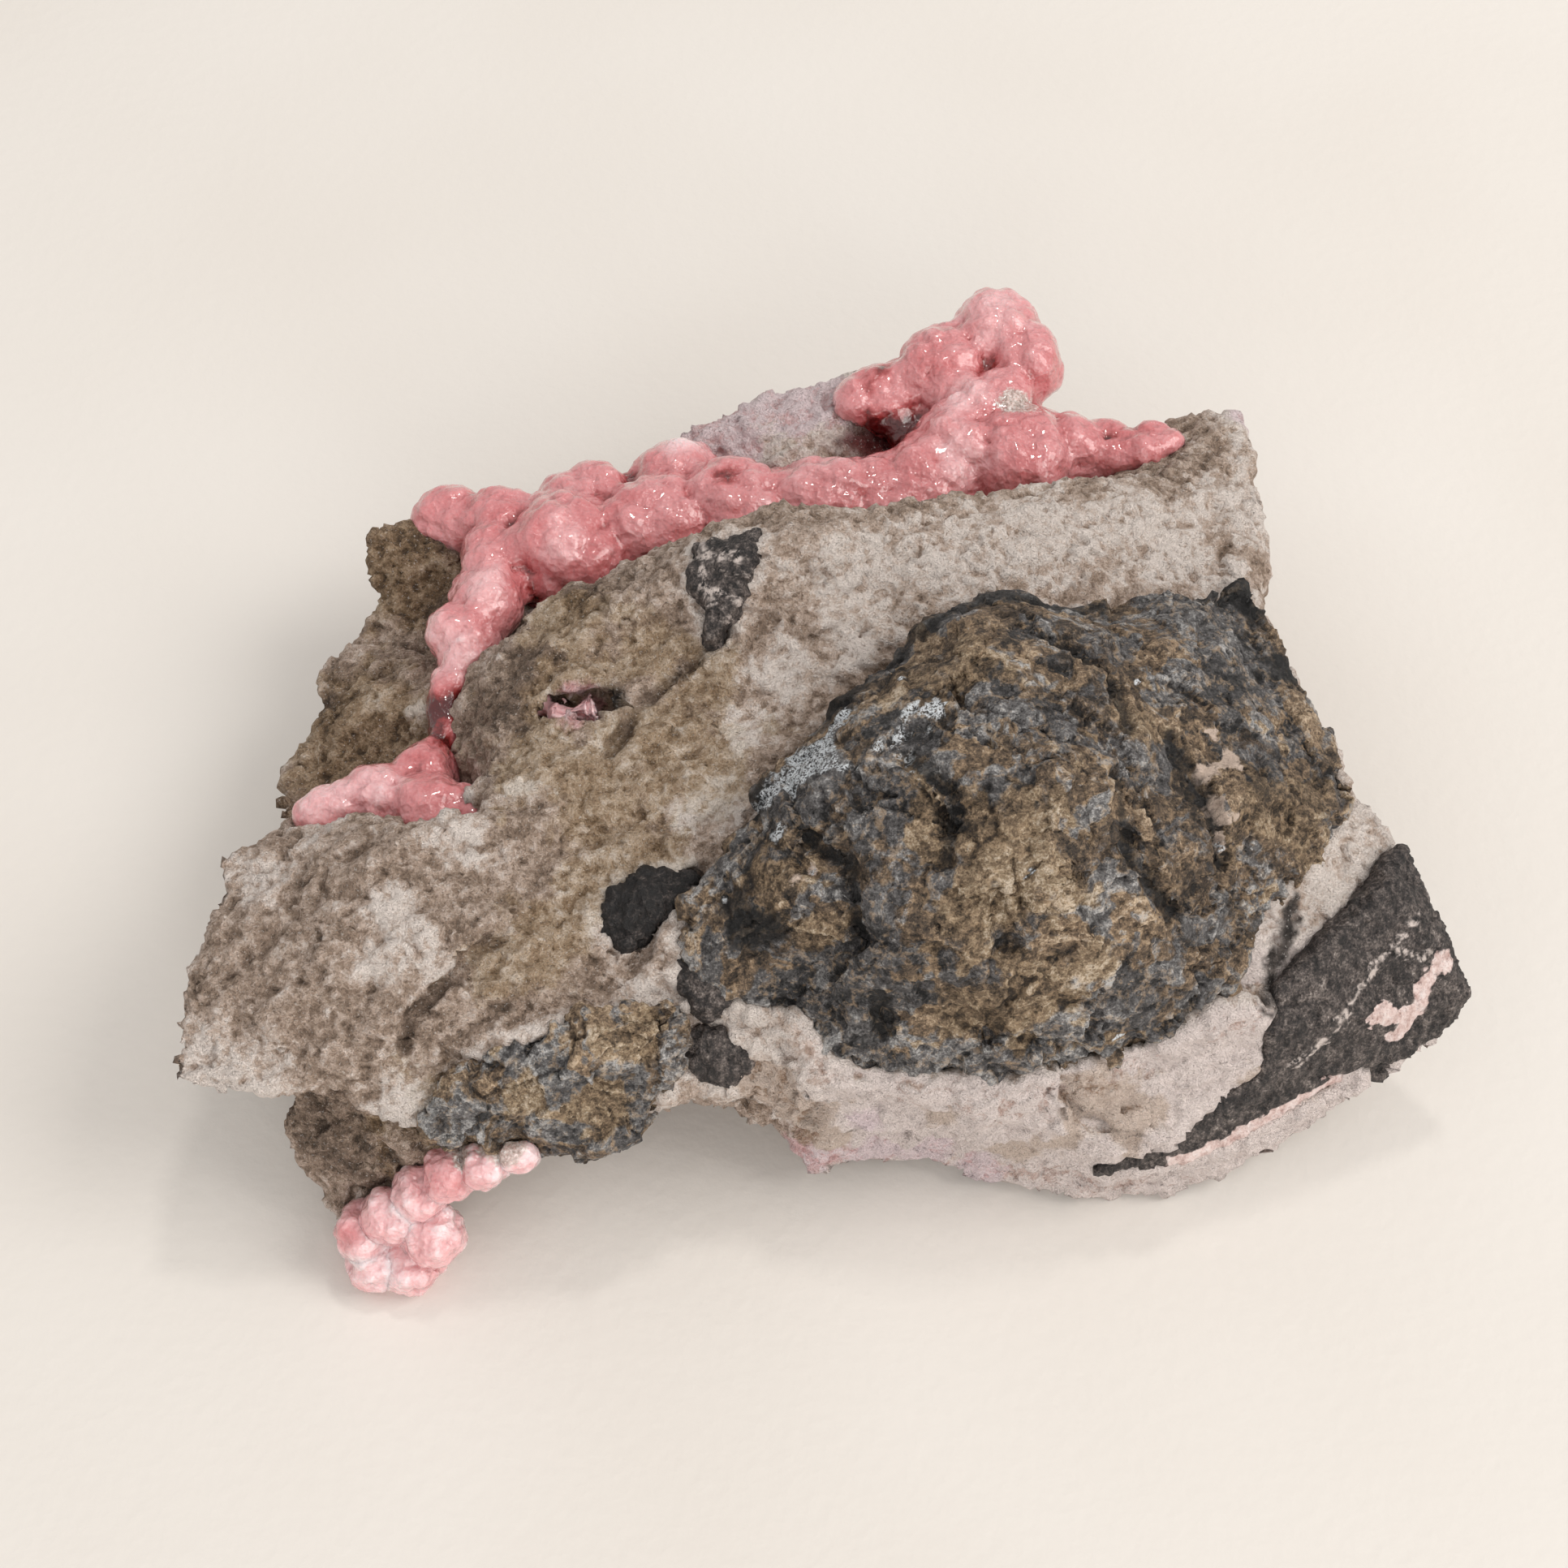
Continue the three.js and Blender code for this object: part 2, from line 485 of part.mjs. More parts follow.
const group = new THREE.Group();
const seats = Object.values(fragments).map(({ shape }) => shape(GAP));
const crustSeats = [crust(SEAM, GAP), crust(SMALL_VUG, GAP)];
const hollows = [crust(LEFT_MOUTH, 0), crust(VUG_PIT, 0)];
group.add(meshOf(less(rock(0), [...seats, ...crustSeats, ...hollows, floor]), "vein_rock", VEIN));

// Where two fragments meet, the later one gives way to the earlier one.
Object.entries(fragments).forEach(([name, { shape, material }], k) => {
  group.add(meshOf(less(shape(0), [...seats.slice(0, k), floor]), name, material));
});

// The pocket crust and the cluster lie on the rock; the seam and the small vug are let into it.
const taken = [...seats, floor];
const onRock = [rock(GAP), crust(POCKET_HOLLOW, 0)];
const pocketCrust = less(less(crust(POCKET, 0), onRock).add(crust(SEAM, 0)), taken);
group.add(meshOf(pocketCrust, "rhodochrosite_pockets", PINK));
group.add(meshOf(less(crust(LOWER_CLUSTER, 0), [rock(GAP), ...taken]), "rhodochrosite_lower_cluster", PINK));
group.add(meshOf(less(crust(SMALL_VUG, 0), [crust(VUG_PIT, 0), ...taken]), "rhodochrosite_small_vug", PINK));

// The origin goes under the middle of the bounding box.
const box = new THREE.Box3().setFromObject(group);
const middle = box.getCenter(new THREE.Vector3());
group.position.set(-middle.x, -middle.y, -box.min.z);

export default group;
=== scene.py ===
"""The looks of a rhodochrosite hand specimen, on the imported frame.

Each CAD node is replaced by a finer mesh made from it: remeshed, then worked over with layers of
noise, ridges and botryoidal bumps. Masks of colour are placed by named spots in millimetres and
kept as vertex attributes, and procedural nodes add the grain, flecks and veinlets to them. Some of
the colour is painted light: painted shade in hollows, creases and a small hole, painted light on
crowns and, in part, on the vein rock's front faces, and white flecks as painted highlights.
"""

import math

import bpy
import numpy as np
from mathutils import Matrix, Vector
from mathutils.bvhtree import BVHTree
from mathutils.kdtree import KDTree


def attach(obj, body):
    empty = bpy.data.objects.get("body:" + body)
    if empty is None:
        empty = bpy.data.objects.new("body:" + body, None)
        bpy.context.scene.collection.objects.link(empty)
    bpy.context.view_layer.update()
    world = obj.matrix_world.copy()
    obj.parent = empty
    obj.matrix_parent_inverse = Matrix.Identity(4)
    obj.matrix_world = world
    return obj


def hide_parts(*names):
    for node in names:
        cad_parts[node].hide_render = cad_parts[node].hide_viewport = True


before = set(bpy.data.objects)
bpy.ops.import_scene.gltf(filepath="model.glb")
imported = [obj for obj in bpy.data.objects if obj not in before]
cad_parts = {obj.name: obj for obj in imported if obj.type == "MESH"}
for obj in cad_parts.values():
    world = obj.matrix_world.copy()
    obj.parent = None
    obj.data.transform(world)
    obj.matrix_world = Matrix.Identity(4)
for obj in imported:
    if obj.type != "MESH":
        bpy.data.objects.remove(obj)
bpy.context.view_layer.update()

MM = 0.001
# Places below are (x, y, z) in mm in the frame: the origin is on the resting plane, under the middle
# of the box. A place with a fourth number is a ball of that radius.

# ------------------------------------------------------------------ noise


class Noise:
    """Gradient noise in three dimensions, about -1 to 1, the same for the same seed."""

    SIZE = 256

    def __init__(self, seed):
        rng = np.random.default_rng(seed)
        self.order = np.tile(rng.permutation(self.SIZE), 2)
        slopes = rng.normal(size=(self.SIZE, 3))
        self.slopes = slopes / np.linalg.norm(slopes, axis=1, keepdims=True)
        self.jitter = rng.random((self.SIZE, 3))

    def cell_hash(self, cell):
        x, y, z = (cell & (self.SIZE - 1)).T
        return self.order[(self.order[(self.order[x] + y) & 255] + z) & 255]

    def __call__(self, points):
        cell = np.floor(points).astype(int)
        part = points - cell
        blend = part**3 * (part * (part * 6 - 15) + 10)
        total = np.zeros(len(points))
        for corner in np.ndindex(2, 2, 2):
            slope = self.slopes[self.cell_hash(cell + corner)]
            share = np.prod(np.where(corner, blend, 1 - blend), axis=1)
            total += share * np.einsum("ij,ij->i", slope, part - corner)
        return total * 1.6

    def layered(self, points, octaves, gain=0.5):
        """Octaves of noise, each twice as fine."""
        total = np.zeros(len(points))
        for k in range(octaves):
            total += gain**k * self(points * 2**k + 17.3 * k)
        return total

    def ridged(self, points, octaves, gain=0.55):
        """Sharp crests where the noise passes through zero, about 0 to 1."""
        total, most = np.zeros(len(points)), 0.0
        for k in range(octaves):
            total += gain**k * (1 - np.abs(self(points * 2**k + 9.7 * k)))
            most += gain**k
        return total / most

    def cells(self, points):
        """Distances to the nearest and second nearest of one jittered point per unit cell."""
        cell = np.floor(points).astype(int)
        near = np.full(len(points), 9.0)
        second = np.full(len(points), 9.0)
        for step in np.ndindex(3, 3, 3):
            other = cell + np.array(step) - 1
            d = np.linalg.norm(other + self.jitter[self.cell_hash(other)] - points, axis=1)
            second = np.minimum(second, np.maximum(near, d))
            near = np.minimum(near, d)
        return near, second

    def facets(self, points):
        """Flat chips: around one jittered point per unit cell, a plane with a tilt of its own."""
        cell = np.floor(points).astype(int)
        near = np.full(len(points), 9.0)
        height = np.zeros(len(points))
        for step in np.ndindex(3, 3, 3):
            other = cell + np.array(step) - 1
            key = self.cell_hash(other)
            offset = points - other - self.jitter[key]
            d = np.linalg.norm(offset, axis=1)
            height = np.where(d < near, np.einsum("ij,ij->i", self.slopes[key], offset), height)
            near = np.minimum(near, d)
        return height

    def warped(self, points, amount, per_mm):
        """The points, each led astray by up to about this amount."""
        shifts = [self((points + 31.7 * k) * per_mm) for k in range(3)]
        return points + amount * np.stack(shifts, axis=1)


def smooth(low, high, x):
    t = np.clip((x - low) / (high - low), 0, 1)
    return t * t * (3 - 2 * t)


def spots(points, places, warp=0.0, seed=5):
    """Soft patches, 1 in the middle of each (x, y, z, radius) ball in mm and fading past its edge."""
    ragged = 1 + warp * Noise(seed).layered(points * 0.5, 4, 0.6)
    left = np.ones(len(points))
    for x, y, z, radius in places:
        d = np.linalg.norm(points - (x, y, z), axis=1) * ragged
        left *= 1 - np.exp(-((d / radius) ** 4))
    return 1 - left


def lines(points, chains, width, normals=None):
    """Thin wavering lines along chains of (x, y, z) places in mm: 1 on a line, 0 beside it. Given
    normals, a line also marks the surface that lies a little over or under it."""
    points = Noise(6).warped(points, 0.25, 0.9)
    nearest = np.full(len(points), 99.0)
    for chain in chains:
        for start, end in zip(chain, chain[1:]):
            start, run = np.array(start), np.subtract(end, start)
            along = np.clip((points - start) @ run / (run @ run), 0, 1)
            off = points - start - along[:, None] * run
            beside = np.linalg.norm(off, axis=1)
            if normals is not None:
                over = np.einsum("ij,ij->i", off, normals)
                level = np.linalg.norm(off - over[:, None] * normals, axis=1)
                beside = np.where(np.abs(over) < 1.5, level, beside)
            nearest = np.minimum(nearest, beside)
    return smooth(width, width * 0.4, nearest)


def closeness(points, nodes, reach):
    """1 on the CAD surface of these nodes, falling to 0 at this reach in mm."""
    corners, faces = [], []
    for node in nodes:
        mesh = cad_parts[node].data
        faces += [[v + len(corners) for v in polygon.vertices] for polygon in mesh.polygons]
        corners += [vertex.co / MM for vertex in mesh.vertices]
    tree = BVHTree.FromPolygons(corners, faces)
    found = (tree.find_nearest(point, reach)[3] for point in points)
    return np.array([0.0 if d is None else 1 - d / reach for d in found])


# ------------------------------------------------------------------ meshes


class Sculpture:
    """A finer mesh made from one CAD node, with its vertices in mm while it is worked."""

    def __init__(self, node, voxel, soften=2):
        self.node = node
        self.mesh = remeshed(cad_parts[node].data.copy(), voxel, soften, node + "_look")
        self.read()

    def read(self):
        count = len(self.mesh.vertices)
        flat = np.empty(count * 3)
        self.mesh.vertices.foreach_get("co", flat)
        self.points = flat.reshape(-1, 3) / MM

    def normals(self):
        """Vertex normals of the present shape."""
        self.mesh.vertices.foreach_set("co", (self.points * MM).ravel())
        self.mesh.update()
        flat = np.empty(len(self.points) * 3)
        self.mesh.vertex_normals.foreach_get("vector", flat)
        return flat.reshape(-1, 3)

    def push(self, height):
        """Moves every vertex out along its normal by its height, in mm."""
        self.points = self.points + self.normals() * np.asarray(height).reshape(-1, 1)

    def close_gaps(self, reach, voxel, soften):
        """Grows the shape, so that narrow gaps in it close, and draws the eased whole back again."""
        self.push(reach)
        self.normals()
        self.mesh = remeshed(self.mesh, voxel, soften, self.mesh.name)
        self.read()
        self.push(-reach)

    def thin(self, faces, keep=None):
        """Collapses edges until about this many triangles are left, fewest where keep is small."""
        self.normals()
        holder = bpy.data.objects.new("holder", self.mesh)
        bpy.context.collection.objects.link(holder)
        reduce = holder.modifiers.new("reduce", "DECIMATE")
        triangles = sum(len(p.vertices) - 2 for p in self.mesh.polygons)
        reduce.ratio = min(1.0, faces / triangles)
        if keep is not None:
            group = holder.vertex_groups.new(name="keep")
            levels = np.round(np.clip(1 - keep, 0, 1) * 10).astype(int)
            for level in range(11):
                chosen = np.flatnonzero(levels == level).tolist()
                group.add(chosen, level / 10, "REPLACE")
            reduce.vertex_group = "keep"
            reduce.vertex_group_factor = 4
        made = evaluated(holder, self.mesh.name)
        bpy.data.objects.remove(holder)
        self.mesh = made
        self.read()

    def relief(self, rounds):
        """How far the surface lies under its own smoothed shape, in mm: above 0 in hollows."""
        self.normals()
        holder = bpy.data.objects.new("holder", self.mesh)
        bpy.context.collection.objects.link(holder)
        holder.modifiers.new("ease", "SMOOTH").iterations = rounds
        eased = evaluated(holder, "eased")
        bpy.data.objects.remove(holder)
        flat = np.empty(len(self.points) * 3)
        eased.vertices.foreach_get("co", flat)
        bpy.data.meshes.remove(eased)
        return np.einsum("ij,ij->i", flat.reshape(-1, 3) / MM - self.points, self.normals())

    def paint(self, name, values):
        """Keeps one number per vertex for the material."""
        layer = self.mesh.attributes.new(name, "FLOAT", "POINT")
        layer.data.foreach_set("value", np.asarray(values, dtype=np.float32))

    def finish(self, material, slot):
        self.points[:, 2] = np.maximum(self.points[:, 2], 0.0)
        self.normals()
        self.mesh.shade_smooth()
        self.mesh.materials.clear()
        self.mesh.materials.append(material)
        piece = bpy.data.objects.new(self.node + "_look", self.mesh)
        bpy.context.collection.objects.link(piece)
        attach(piece, "root")
        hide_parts(self.node)
        return piece


def remeshed(mesh, voxel, soften, name):
    """An even mesh of small faces over the whole of another one."""
    source = bpy.data.objects.new("source", mesh)
    bpy.context.collection.objects.link(source)
    remesh = source.modifiers.new("voxels", "REMESH")
    remesh.mode = "VOXEL"
    remesh.voxel_size = voxel * MM
    source.modifiers.new("ease", "SMOOTH").iterations = soften
    made = evaluated(source, name)
    bpy.data.objects.remove(source)
    return made


def evaluated(source, name):
    """A new mesh with the object's modifiers applied."""
    graph = bpy.context.evaluated_depsgraph_get()
    mesh = bpy.data.meshes.new_from_object(source.evaluated_get(graph))
    mesh.name = name
    return mesh


def scattered(points, spacing, seed):
    """Indices of vertices about one spacing apart: the first of a shuffled list in each cell."""
    order = np.random.default_rng(seed).permutation(len(points))
    cell = np.floor(points[order] / spacing).astype(int)
    _, first = np.unique(cell, axis=0, return_index=True)
    return order[np.sort(first)]


def botryoids(points, normals, radius, seed, sunk=0.45):
    """Heights of small balls grown on a surface, each a little different and part sunk in it."""
    chosen = scattered(points, radius * 1.15, seed)
    sizes = radius * np.random.default_rng(seed).uniform(0.7, 1.25, len(chosen))
    depths = sizes * sunk
    centres = points[chosen] - normals[chosen] * depths[:, None]
    tree = KDTree(len(chosen))
    for k, centre in enumerate(centres):
        tree.insert(centre, k)
    tree.balance()
    height = np.zeros(len(points))
    for i, point in enumerate(points):
        for _, k, d in tree.find_n(point, 3):
            rise = sizes[k] ** 2 + depths[k] ** 2 - d * d
            if rise > 0:
                height[i] = max(height[i], math.sqrt(rise) - depths[k])
    return height


# ------------------------------------------------------------------ node trees


class Nodes:
    """A small writer of material nodes. Positions in them are in millimetres."""

    def __init__(self, name):
        self.material = bpy.data.materials.new(name)
        self.material.use_nodes = True
        self.tree = self.material.node_tree
        self.shader = self.tree.nodes["Principled BSDF"]
        coordinates = self.tree.nodes.new("ShaderNodeTexCoord")
        self.place = self.vector("SCALE", coordinates.outputs["Object"], scale=1 / MM)

    def link(self, source, target):
        self.tree.links.new(source, target)

    def put(self, source, target):
        if isinstance(source, bpy.types.NodeSocket):
            self.link(source, target)
        elif source is not None:
            target.default_value = source

    def attribute(self, name):
        node = self.tree.nodes.new("ShaderNodeAttribute")
        node.attribute_name = name
        return node.outputs["Fac"]

    def math(self, operation, a, b=None, c=None):
        node = self.tree.nodes.new("ShaderNodeMath")
        node.operation = operation
        for socket, value in zip(node.inputs, (a, b, c)):
            self.put(value, socket)
        return node.outputs[0]

    def vector(self, operation, a, b=None, scale=None):
        node = self.tree.nodes.new("ShaderNodeVectorMath")
        node.operation = operation
        self.put(a, node.inputs[0])
        if scale is None:
            self.put(b, node.inputs[1])
        else:
            self.put(scale, node.inputs["Scale"])
        return node.outputs[0]

    def noise(self, per_mm, detail=4.0, roughness=0.55, place=None, output="Fac"):
        node = self.tree.nodes.new("ShaderNodeTexNoise")
        node.inputs["Scale"].default_value = per_mm
        node.inputs["Detail"].default_value = detail
        node.inputs["Roughness"].default_value = roughness
        self.link(place or self.place, node.inputs["Vector"])
        return node.outputs[output]

    def cells(self, per_mm, feature="F1", output="Distance", place=None):
        node = self.tree.nodes.new("ShaderNodeTexVoronoi")
        node.feature = feature
        node.inputs["Scale"].default_value = per_mm
        self.link(place or self.place, node.inputs["Vector"])
        return node.outputs[output]

    def warp(self, amount, per_mm, detail=2.0):
        """Positions led astray by up to about this many mm."""
        shift = self.vector("SUBTRACT", self.noise(per_mm, detail, output="Color"), (0.5, 0.5, 0.5))
        return self.vector("ADD", self.place, self.vector("SCALE", shift, scale=4 * amount))

    def step(self, value, low, high):
        """0 below low and 1 above high, smooth between."""
        node = self.tree.nodes.new("ShaderNodeMapRange")
        node.interpolation_type = "SMOOTHSTEP"
        self.link(value, node.inputs["Value"])
        node.inputs["From Min"].default_value = low
        node.inputs["From Max"].default_value = high
        return node.outputs["Result"]

    def span(self, value, low, high):
        """Stretches 0 to 1 onto low to high."""
        node = self.tree.nodes.new("ShaderNodeMapRange")
        self.link(value, node.inputs["Value"])
        node.inputs["To Min"].default_value = low
        node.inputs["To Max"].default_value = high
        return node.outputs["Result"]

    def total(self, start, *terms):
        """start plus each (value, weight)."""
        whole = start
        for value, weight in terms:
            whole = self.math("MULTIPLY_ADD", value, weight, whole)
        return whole

    def ramp(self, value, *stops):
        node = self.tree.nodes.new("ShaderNodeValToRGB")
        elements = node.color_ramp.elements
        for element, (position, colour) in zip(elements, (stops[0], stops[-1])):
            element.position, element.color = position, tone(*colour)
        for position, colour in stops[1:-1]:
            elements.new(position).color = tone(*colour)
        self.link(value, node.inputs["Fac"])
        return node.outputs["Color"]

    def mix(self, share, a, b):
        node = self.tree.nodes.new("ShaderNodeMix")
        node.data_type = "RGBA"
        self.put(share, node.inputs["Factor"])
        sockets = [socket for socket in node.inputs if socket.type == "RGBA"]
        for value, socket in zip((a, b), sockets):
            self.put(tone(*value) if isinstance(value, tuple) else value, socket)
        return next(socket for socket in node.outputs if socket.type == "RGBA")

    def patch(self, name, ragged, amount=0.8, soft=0.16):
        """A painted mask whose edge is broken up by finer noise than the mesh holds."""
        loose = self.total(-amount / 2, (ragged, amount), (self.attribute(name), 1.0))
        return self.step(loose, 0.5 - soft, 0.5 + soft)

    def threads(self, value, width):
        """Thin lines where a noise passes through its middle."""
        off = self.math("ABSOLUTE", self.math("SUBTRACT", value, 0.5))
        return self.step(off, width, width * 0.3)

    def bump(self, height, strength, distance, under=None):
        node = self.tree.nodes.new("ShaderNodeBump")
        node.inputs["Strength"].default_value = strength
        node.inputs["Distance"].default_value = distance * MM
        self.link(height, node.inputs["Height"])
        if under is not None:
            self.link(under, node.inputs["Normal"])
        return node.outputs["Normal"]

    def finish(self, colour, roughness, normal):
        self.put(colour, self.shader.inputs["Base Color"])
        self.put(roughness, self.shader.inputs["Roughness"])
        self.put(normal, self.shader.inputs["Normal"])
        return self.material


def tone(red, green, blue):
    """A colour as the eye reads it, from 0 to 255, as the linear one that shaders use."""
    return tuple(((c / 255 + 0.055) / 1.055) ** 2.4 for c in (red, green, blue)) + (1.0,)


# ------------------------------------------------------------------ materials


def vein_material():
    """Granular vein rock: pinkish grey, bleached in places, stained ochre and brown in others."""
    nodes = Nodes("vein_rock")
    blotches = nodes.noise(0.7, 5, 0.62)
    grains = nodes.noise(2.6, 5, 0.68)
    fine = nodes.noise(8.0, 3, 0.6)
    facets = nodes.cells(2.2, output="Color", place=nodes.warp(0.12, 2.5))
    level = nodes.total(
        0.585 - 0.45 - 0.4 - 0.3 - 0.15,
        (blotches, 0.9),
        (grains, 0.8),
        (fine, 0.6),
        (facets, 0.3),
        (nodes.attribute("pale"), 0.4),
        # faces turned to the front are lighter: partly the pale band's own colour, partly painted light
        (nodes.attribute("front"), 0.36),
        (nodes.attribute("dark"), -0.3),
        # painted light on the crowns and painted shade in the hollows
        (nodes.attribute("painted_crown_light"), 0.12),
        (nodes.attribute("painted_hollow_shade"), -0.2),
    )
    grey = nodes.ramp(
        level, (0.0, (76, 61, 48)), (0.25, (122, 102, 86)), (0.5, (167, 144, 126)), (0.72, (209, 186, 170)),
        (1.0, (248, 235, 226)),
    )
    ochre = nodes.ramp(
        level, (0.0, (74, 56, 38)), (0.25, (124, 99, 72)), (0.5, (172, 146, 118)), (0.72, (204, 181, 157)),
        (1.0, (242, 228, 214)),
    )
    blush = nodes.ramp(
        level, (0.0, (112, 70, 64)), (0.25, (176, 122, 116)), (0.5, (216, 164, 162)), (0.72, (232, 192, 192)),
        (1.0, (246, 226, 228)),
    )
    colour = nodes.mix(nodes.patch("ochre", blotches, 1.6, 0.4), grey, ochre)
    # faces turned to the front are pinker: partly the pale band's own colour, partly painted light
    warm = nodes.mix(nodes.math("MULTIPLY", nodes.attribute("front"), 0.3), colour, blush)
    colour = nodes.mix(nodes.patch("pink", grains, 1.2, 0.35), warm, blush)
    stain = nodes.math("MULTIPLY", nodes.patch("brown", blotches, 1.4, 0.25), 0.9)
    colour = nodes.mix(stain, colour, ochre_brown(nodes, level))
    # painted shade: the creases are darkened toward dark brown
    colour = nodes.mix(nodes.math("MULTIPLY", nodes.attribute("painted_crease_shade"), 0.4), colour, (66, 50, 38))
    # painted shade: the small hole is near-black
    colour = nodes.mix(nodes.attribute("painted_hole_shade"), colour, (22, 16, 15))
    colour = nodes.mix(nodes.attribute("deep"), colour, (104, 20, 20))
    sliver = nodes.ramp(grains, (0.3, (30, 26, 25)), (0.5, (74, 67, 63)), (0.7, (120, 110, 104)))
    colour = nodes.mix(nodes.attribute("sliver"), colour, sliver)
    # painted highlights: tiny white glint specks
    painted_glint_specks = nodes.step(nodes.noise(6.0, 3, 0.7), 0.6, 0.67)
    colour = nodes.mix(nodes.math("MULTIPLY", painted_glint_specks, 0.45), colour, (244, 236, 230))

    # single cleavage faces catch the light
    glint = nodes.step(nodes.cells(3.4, output="Color"), 0.84, 0.88)
    roughness = nodes.math("MULTIPLY_ADD", glint, -0.5, 0.8)
    nodes.shader.inputs["Specular IOR Level"].default_value = 0.5
    rough = nodes.bump(blotches, 0.6, 0.7)
    rough = nodes.bump(nodes.cells(2.4, place=nodes.warp(0.2, 1.4)), 0.4, 0.25, rough)
    rough = nodes.bump(grains, 0.9, 0.5, rough)
    return nodes.finish(colour, roughness, nodes.bump(fine, 1.0, 0.22, rough))


def ochre_brown(nodes, level):
    return nodes.ramp(
        level, (0.0, (60, 42, 28)), (0.4, (124, 96, 74)), (0.75, (176, 147, 125)), (1.0, (222, 201, 186))
    )


def wall_rock_material():
    """Weathered wall rock: brown and slate plates, threaded with ochre."""
    nodes = Nodes("wall_rock")
    astray = nodes.warp(1.3, 0.45)
    plates = nodes.cells(0.4, output="Color", place=astray)
    tints = nodes.tree.nodes.new("ShaderNodeSeparateColor")
    nodes.link(plates, tints.inputs[0])
    chips = nodes.cells(1.15, output="Color", place=nodes.warp(0.5, 1.1))
    blotches = nodes.noise(0.8, 5, 0.62, astray)
    grains = nodes.noise(2.6, 5, 0.68)
    fine = nodes.noise(8.5, 3, 0.65)
    level = nodes.total(
        0.5 - 0.2 - 0.17 - 0.5 - 0.6 - 0.55,
        (tints.outputs[0], 0.4),
        (chips, 0.34),
        (blotches, 1.0),
        (grains, 1.2),
        (fine, 1.1),
        # painted light on the crowns and painted shade in the hollows
        (nodes.attribute("painted_crown_light"), 0.16),
        (nodes.attribute("painted_hollow_shade"), -0.3),
        (nodes.attribute("dark"), -0.45),
    )
    brown = nodes.ramp(
        level, (0.0, (30, 25, 21)), (0.25, (66, 54, 43)), (0.5, (106, 88, 70)), (0.72, (148, 124, 98)),
        (1.0, (214, 190, 162)),
    )
    slate = nodes.ramp(
        level, (0.0, (26, 25, 25)), (0.25, (57, 55, 55)), (0.5, (92, 89, 89)), (0.72, (128, 126, 125)),
        (1.0, (198, 195, 193)),
    )
    rust = nodes.ramp(
        level, (0.0, (40, 30, 21)), (0.25, (80, 65, 48)), (0.5, (124, 103, 80)), (0.72, (164, 142, 114)),
        (1.0, (222, 204, 182)),
    )
    share = nodes.total(-0.65, (tints.outputs[1], 0.55), (blotches, 1.2), (nodes.attribute("blue"), 0.5))
    colour = nodes.mix(nodes.step(share, 0.12, 0.3), brown, slate)
    colour = nodes.mix(nodes.patch("ochre", blotches, 1.5, 0.22), colour, rust)
    # ochre films line the edges of the plates and wander over them
    edge = nodes.step(nodes.cells(0.4, "DISTANCE_TO_EDGE", place=astray), 0.1, 0.02)
    edge = nodes.math("MULTIPLY", edge, nodes.step(grains, 0.44, 0.6))
    wander = nodes.threads(nodes.noise(0.7, 4, 0.6, nodes.warp(0.8, 0.5)), 0.02)
    film = nodes.math("MULTIPLY", wander, nodes.step(grains, 0.48, 0.62))
    bright_web = nodes.math("MULTIPLY", nodes.math("MAXIMUM", edge, film), 0.5)
    colour = nodes.mix(bright_web, colour, (184, 156, 124))
    pitch = nodes.ramp(level, (0.0, (14, 13, 13)), (0.5, (44, 41, 40)), (1.0, (96, 92, 90)))
    colour = nodes.mix(nodes.math("MULTIPLY", nodes.patch("dark", grains, 2.2, 0.2), 0.8), colour, pitch)
    colour = nodes.mix(nodes.patch("pale", grains, 1.4, 0.2), colour, (214, 192, 176))
    bloom = nodes.patch("frost", grains, 1.6, 0.3)
    colour = nodes.mix(nodes.math("MULTIPLY", bloom, 0.7), colour, (58, 58, 60))
    crystals = nodes.math("MULTIPLY", nodes.step(fine, 0.43, 0.5), nodes.step(grains, 0.36, 0.46))
    colour = nodes.mix(nodes.math("MULTIPLY", bloom, crystals), colour, (238, 242, 246))
    # painted shade: the creases and the ragged edge against the vein rock are darkened
    colour = nodes.mix(nodes.math("MULTIPLY", nodes.attribute("painted_crease_shade"), 0.75), colour, (20, 17, 15))

    roughness = nodes.span(grains, 0.85, 0.35)
    rough = nodes.bump(blotches, 0.8, 0.9)
    rough = nodes.bump(chips, 0.35, 0.3, rough)
    rough = nodes.bump(grains, 0.8, 0.35, rough)
    return nodes.finish(colour, roughness, nodes.bump(fine, 0.6, 0.12, rough))


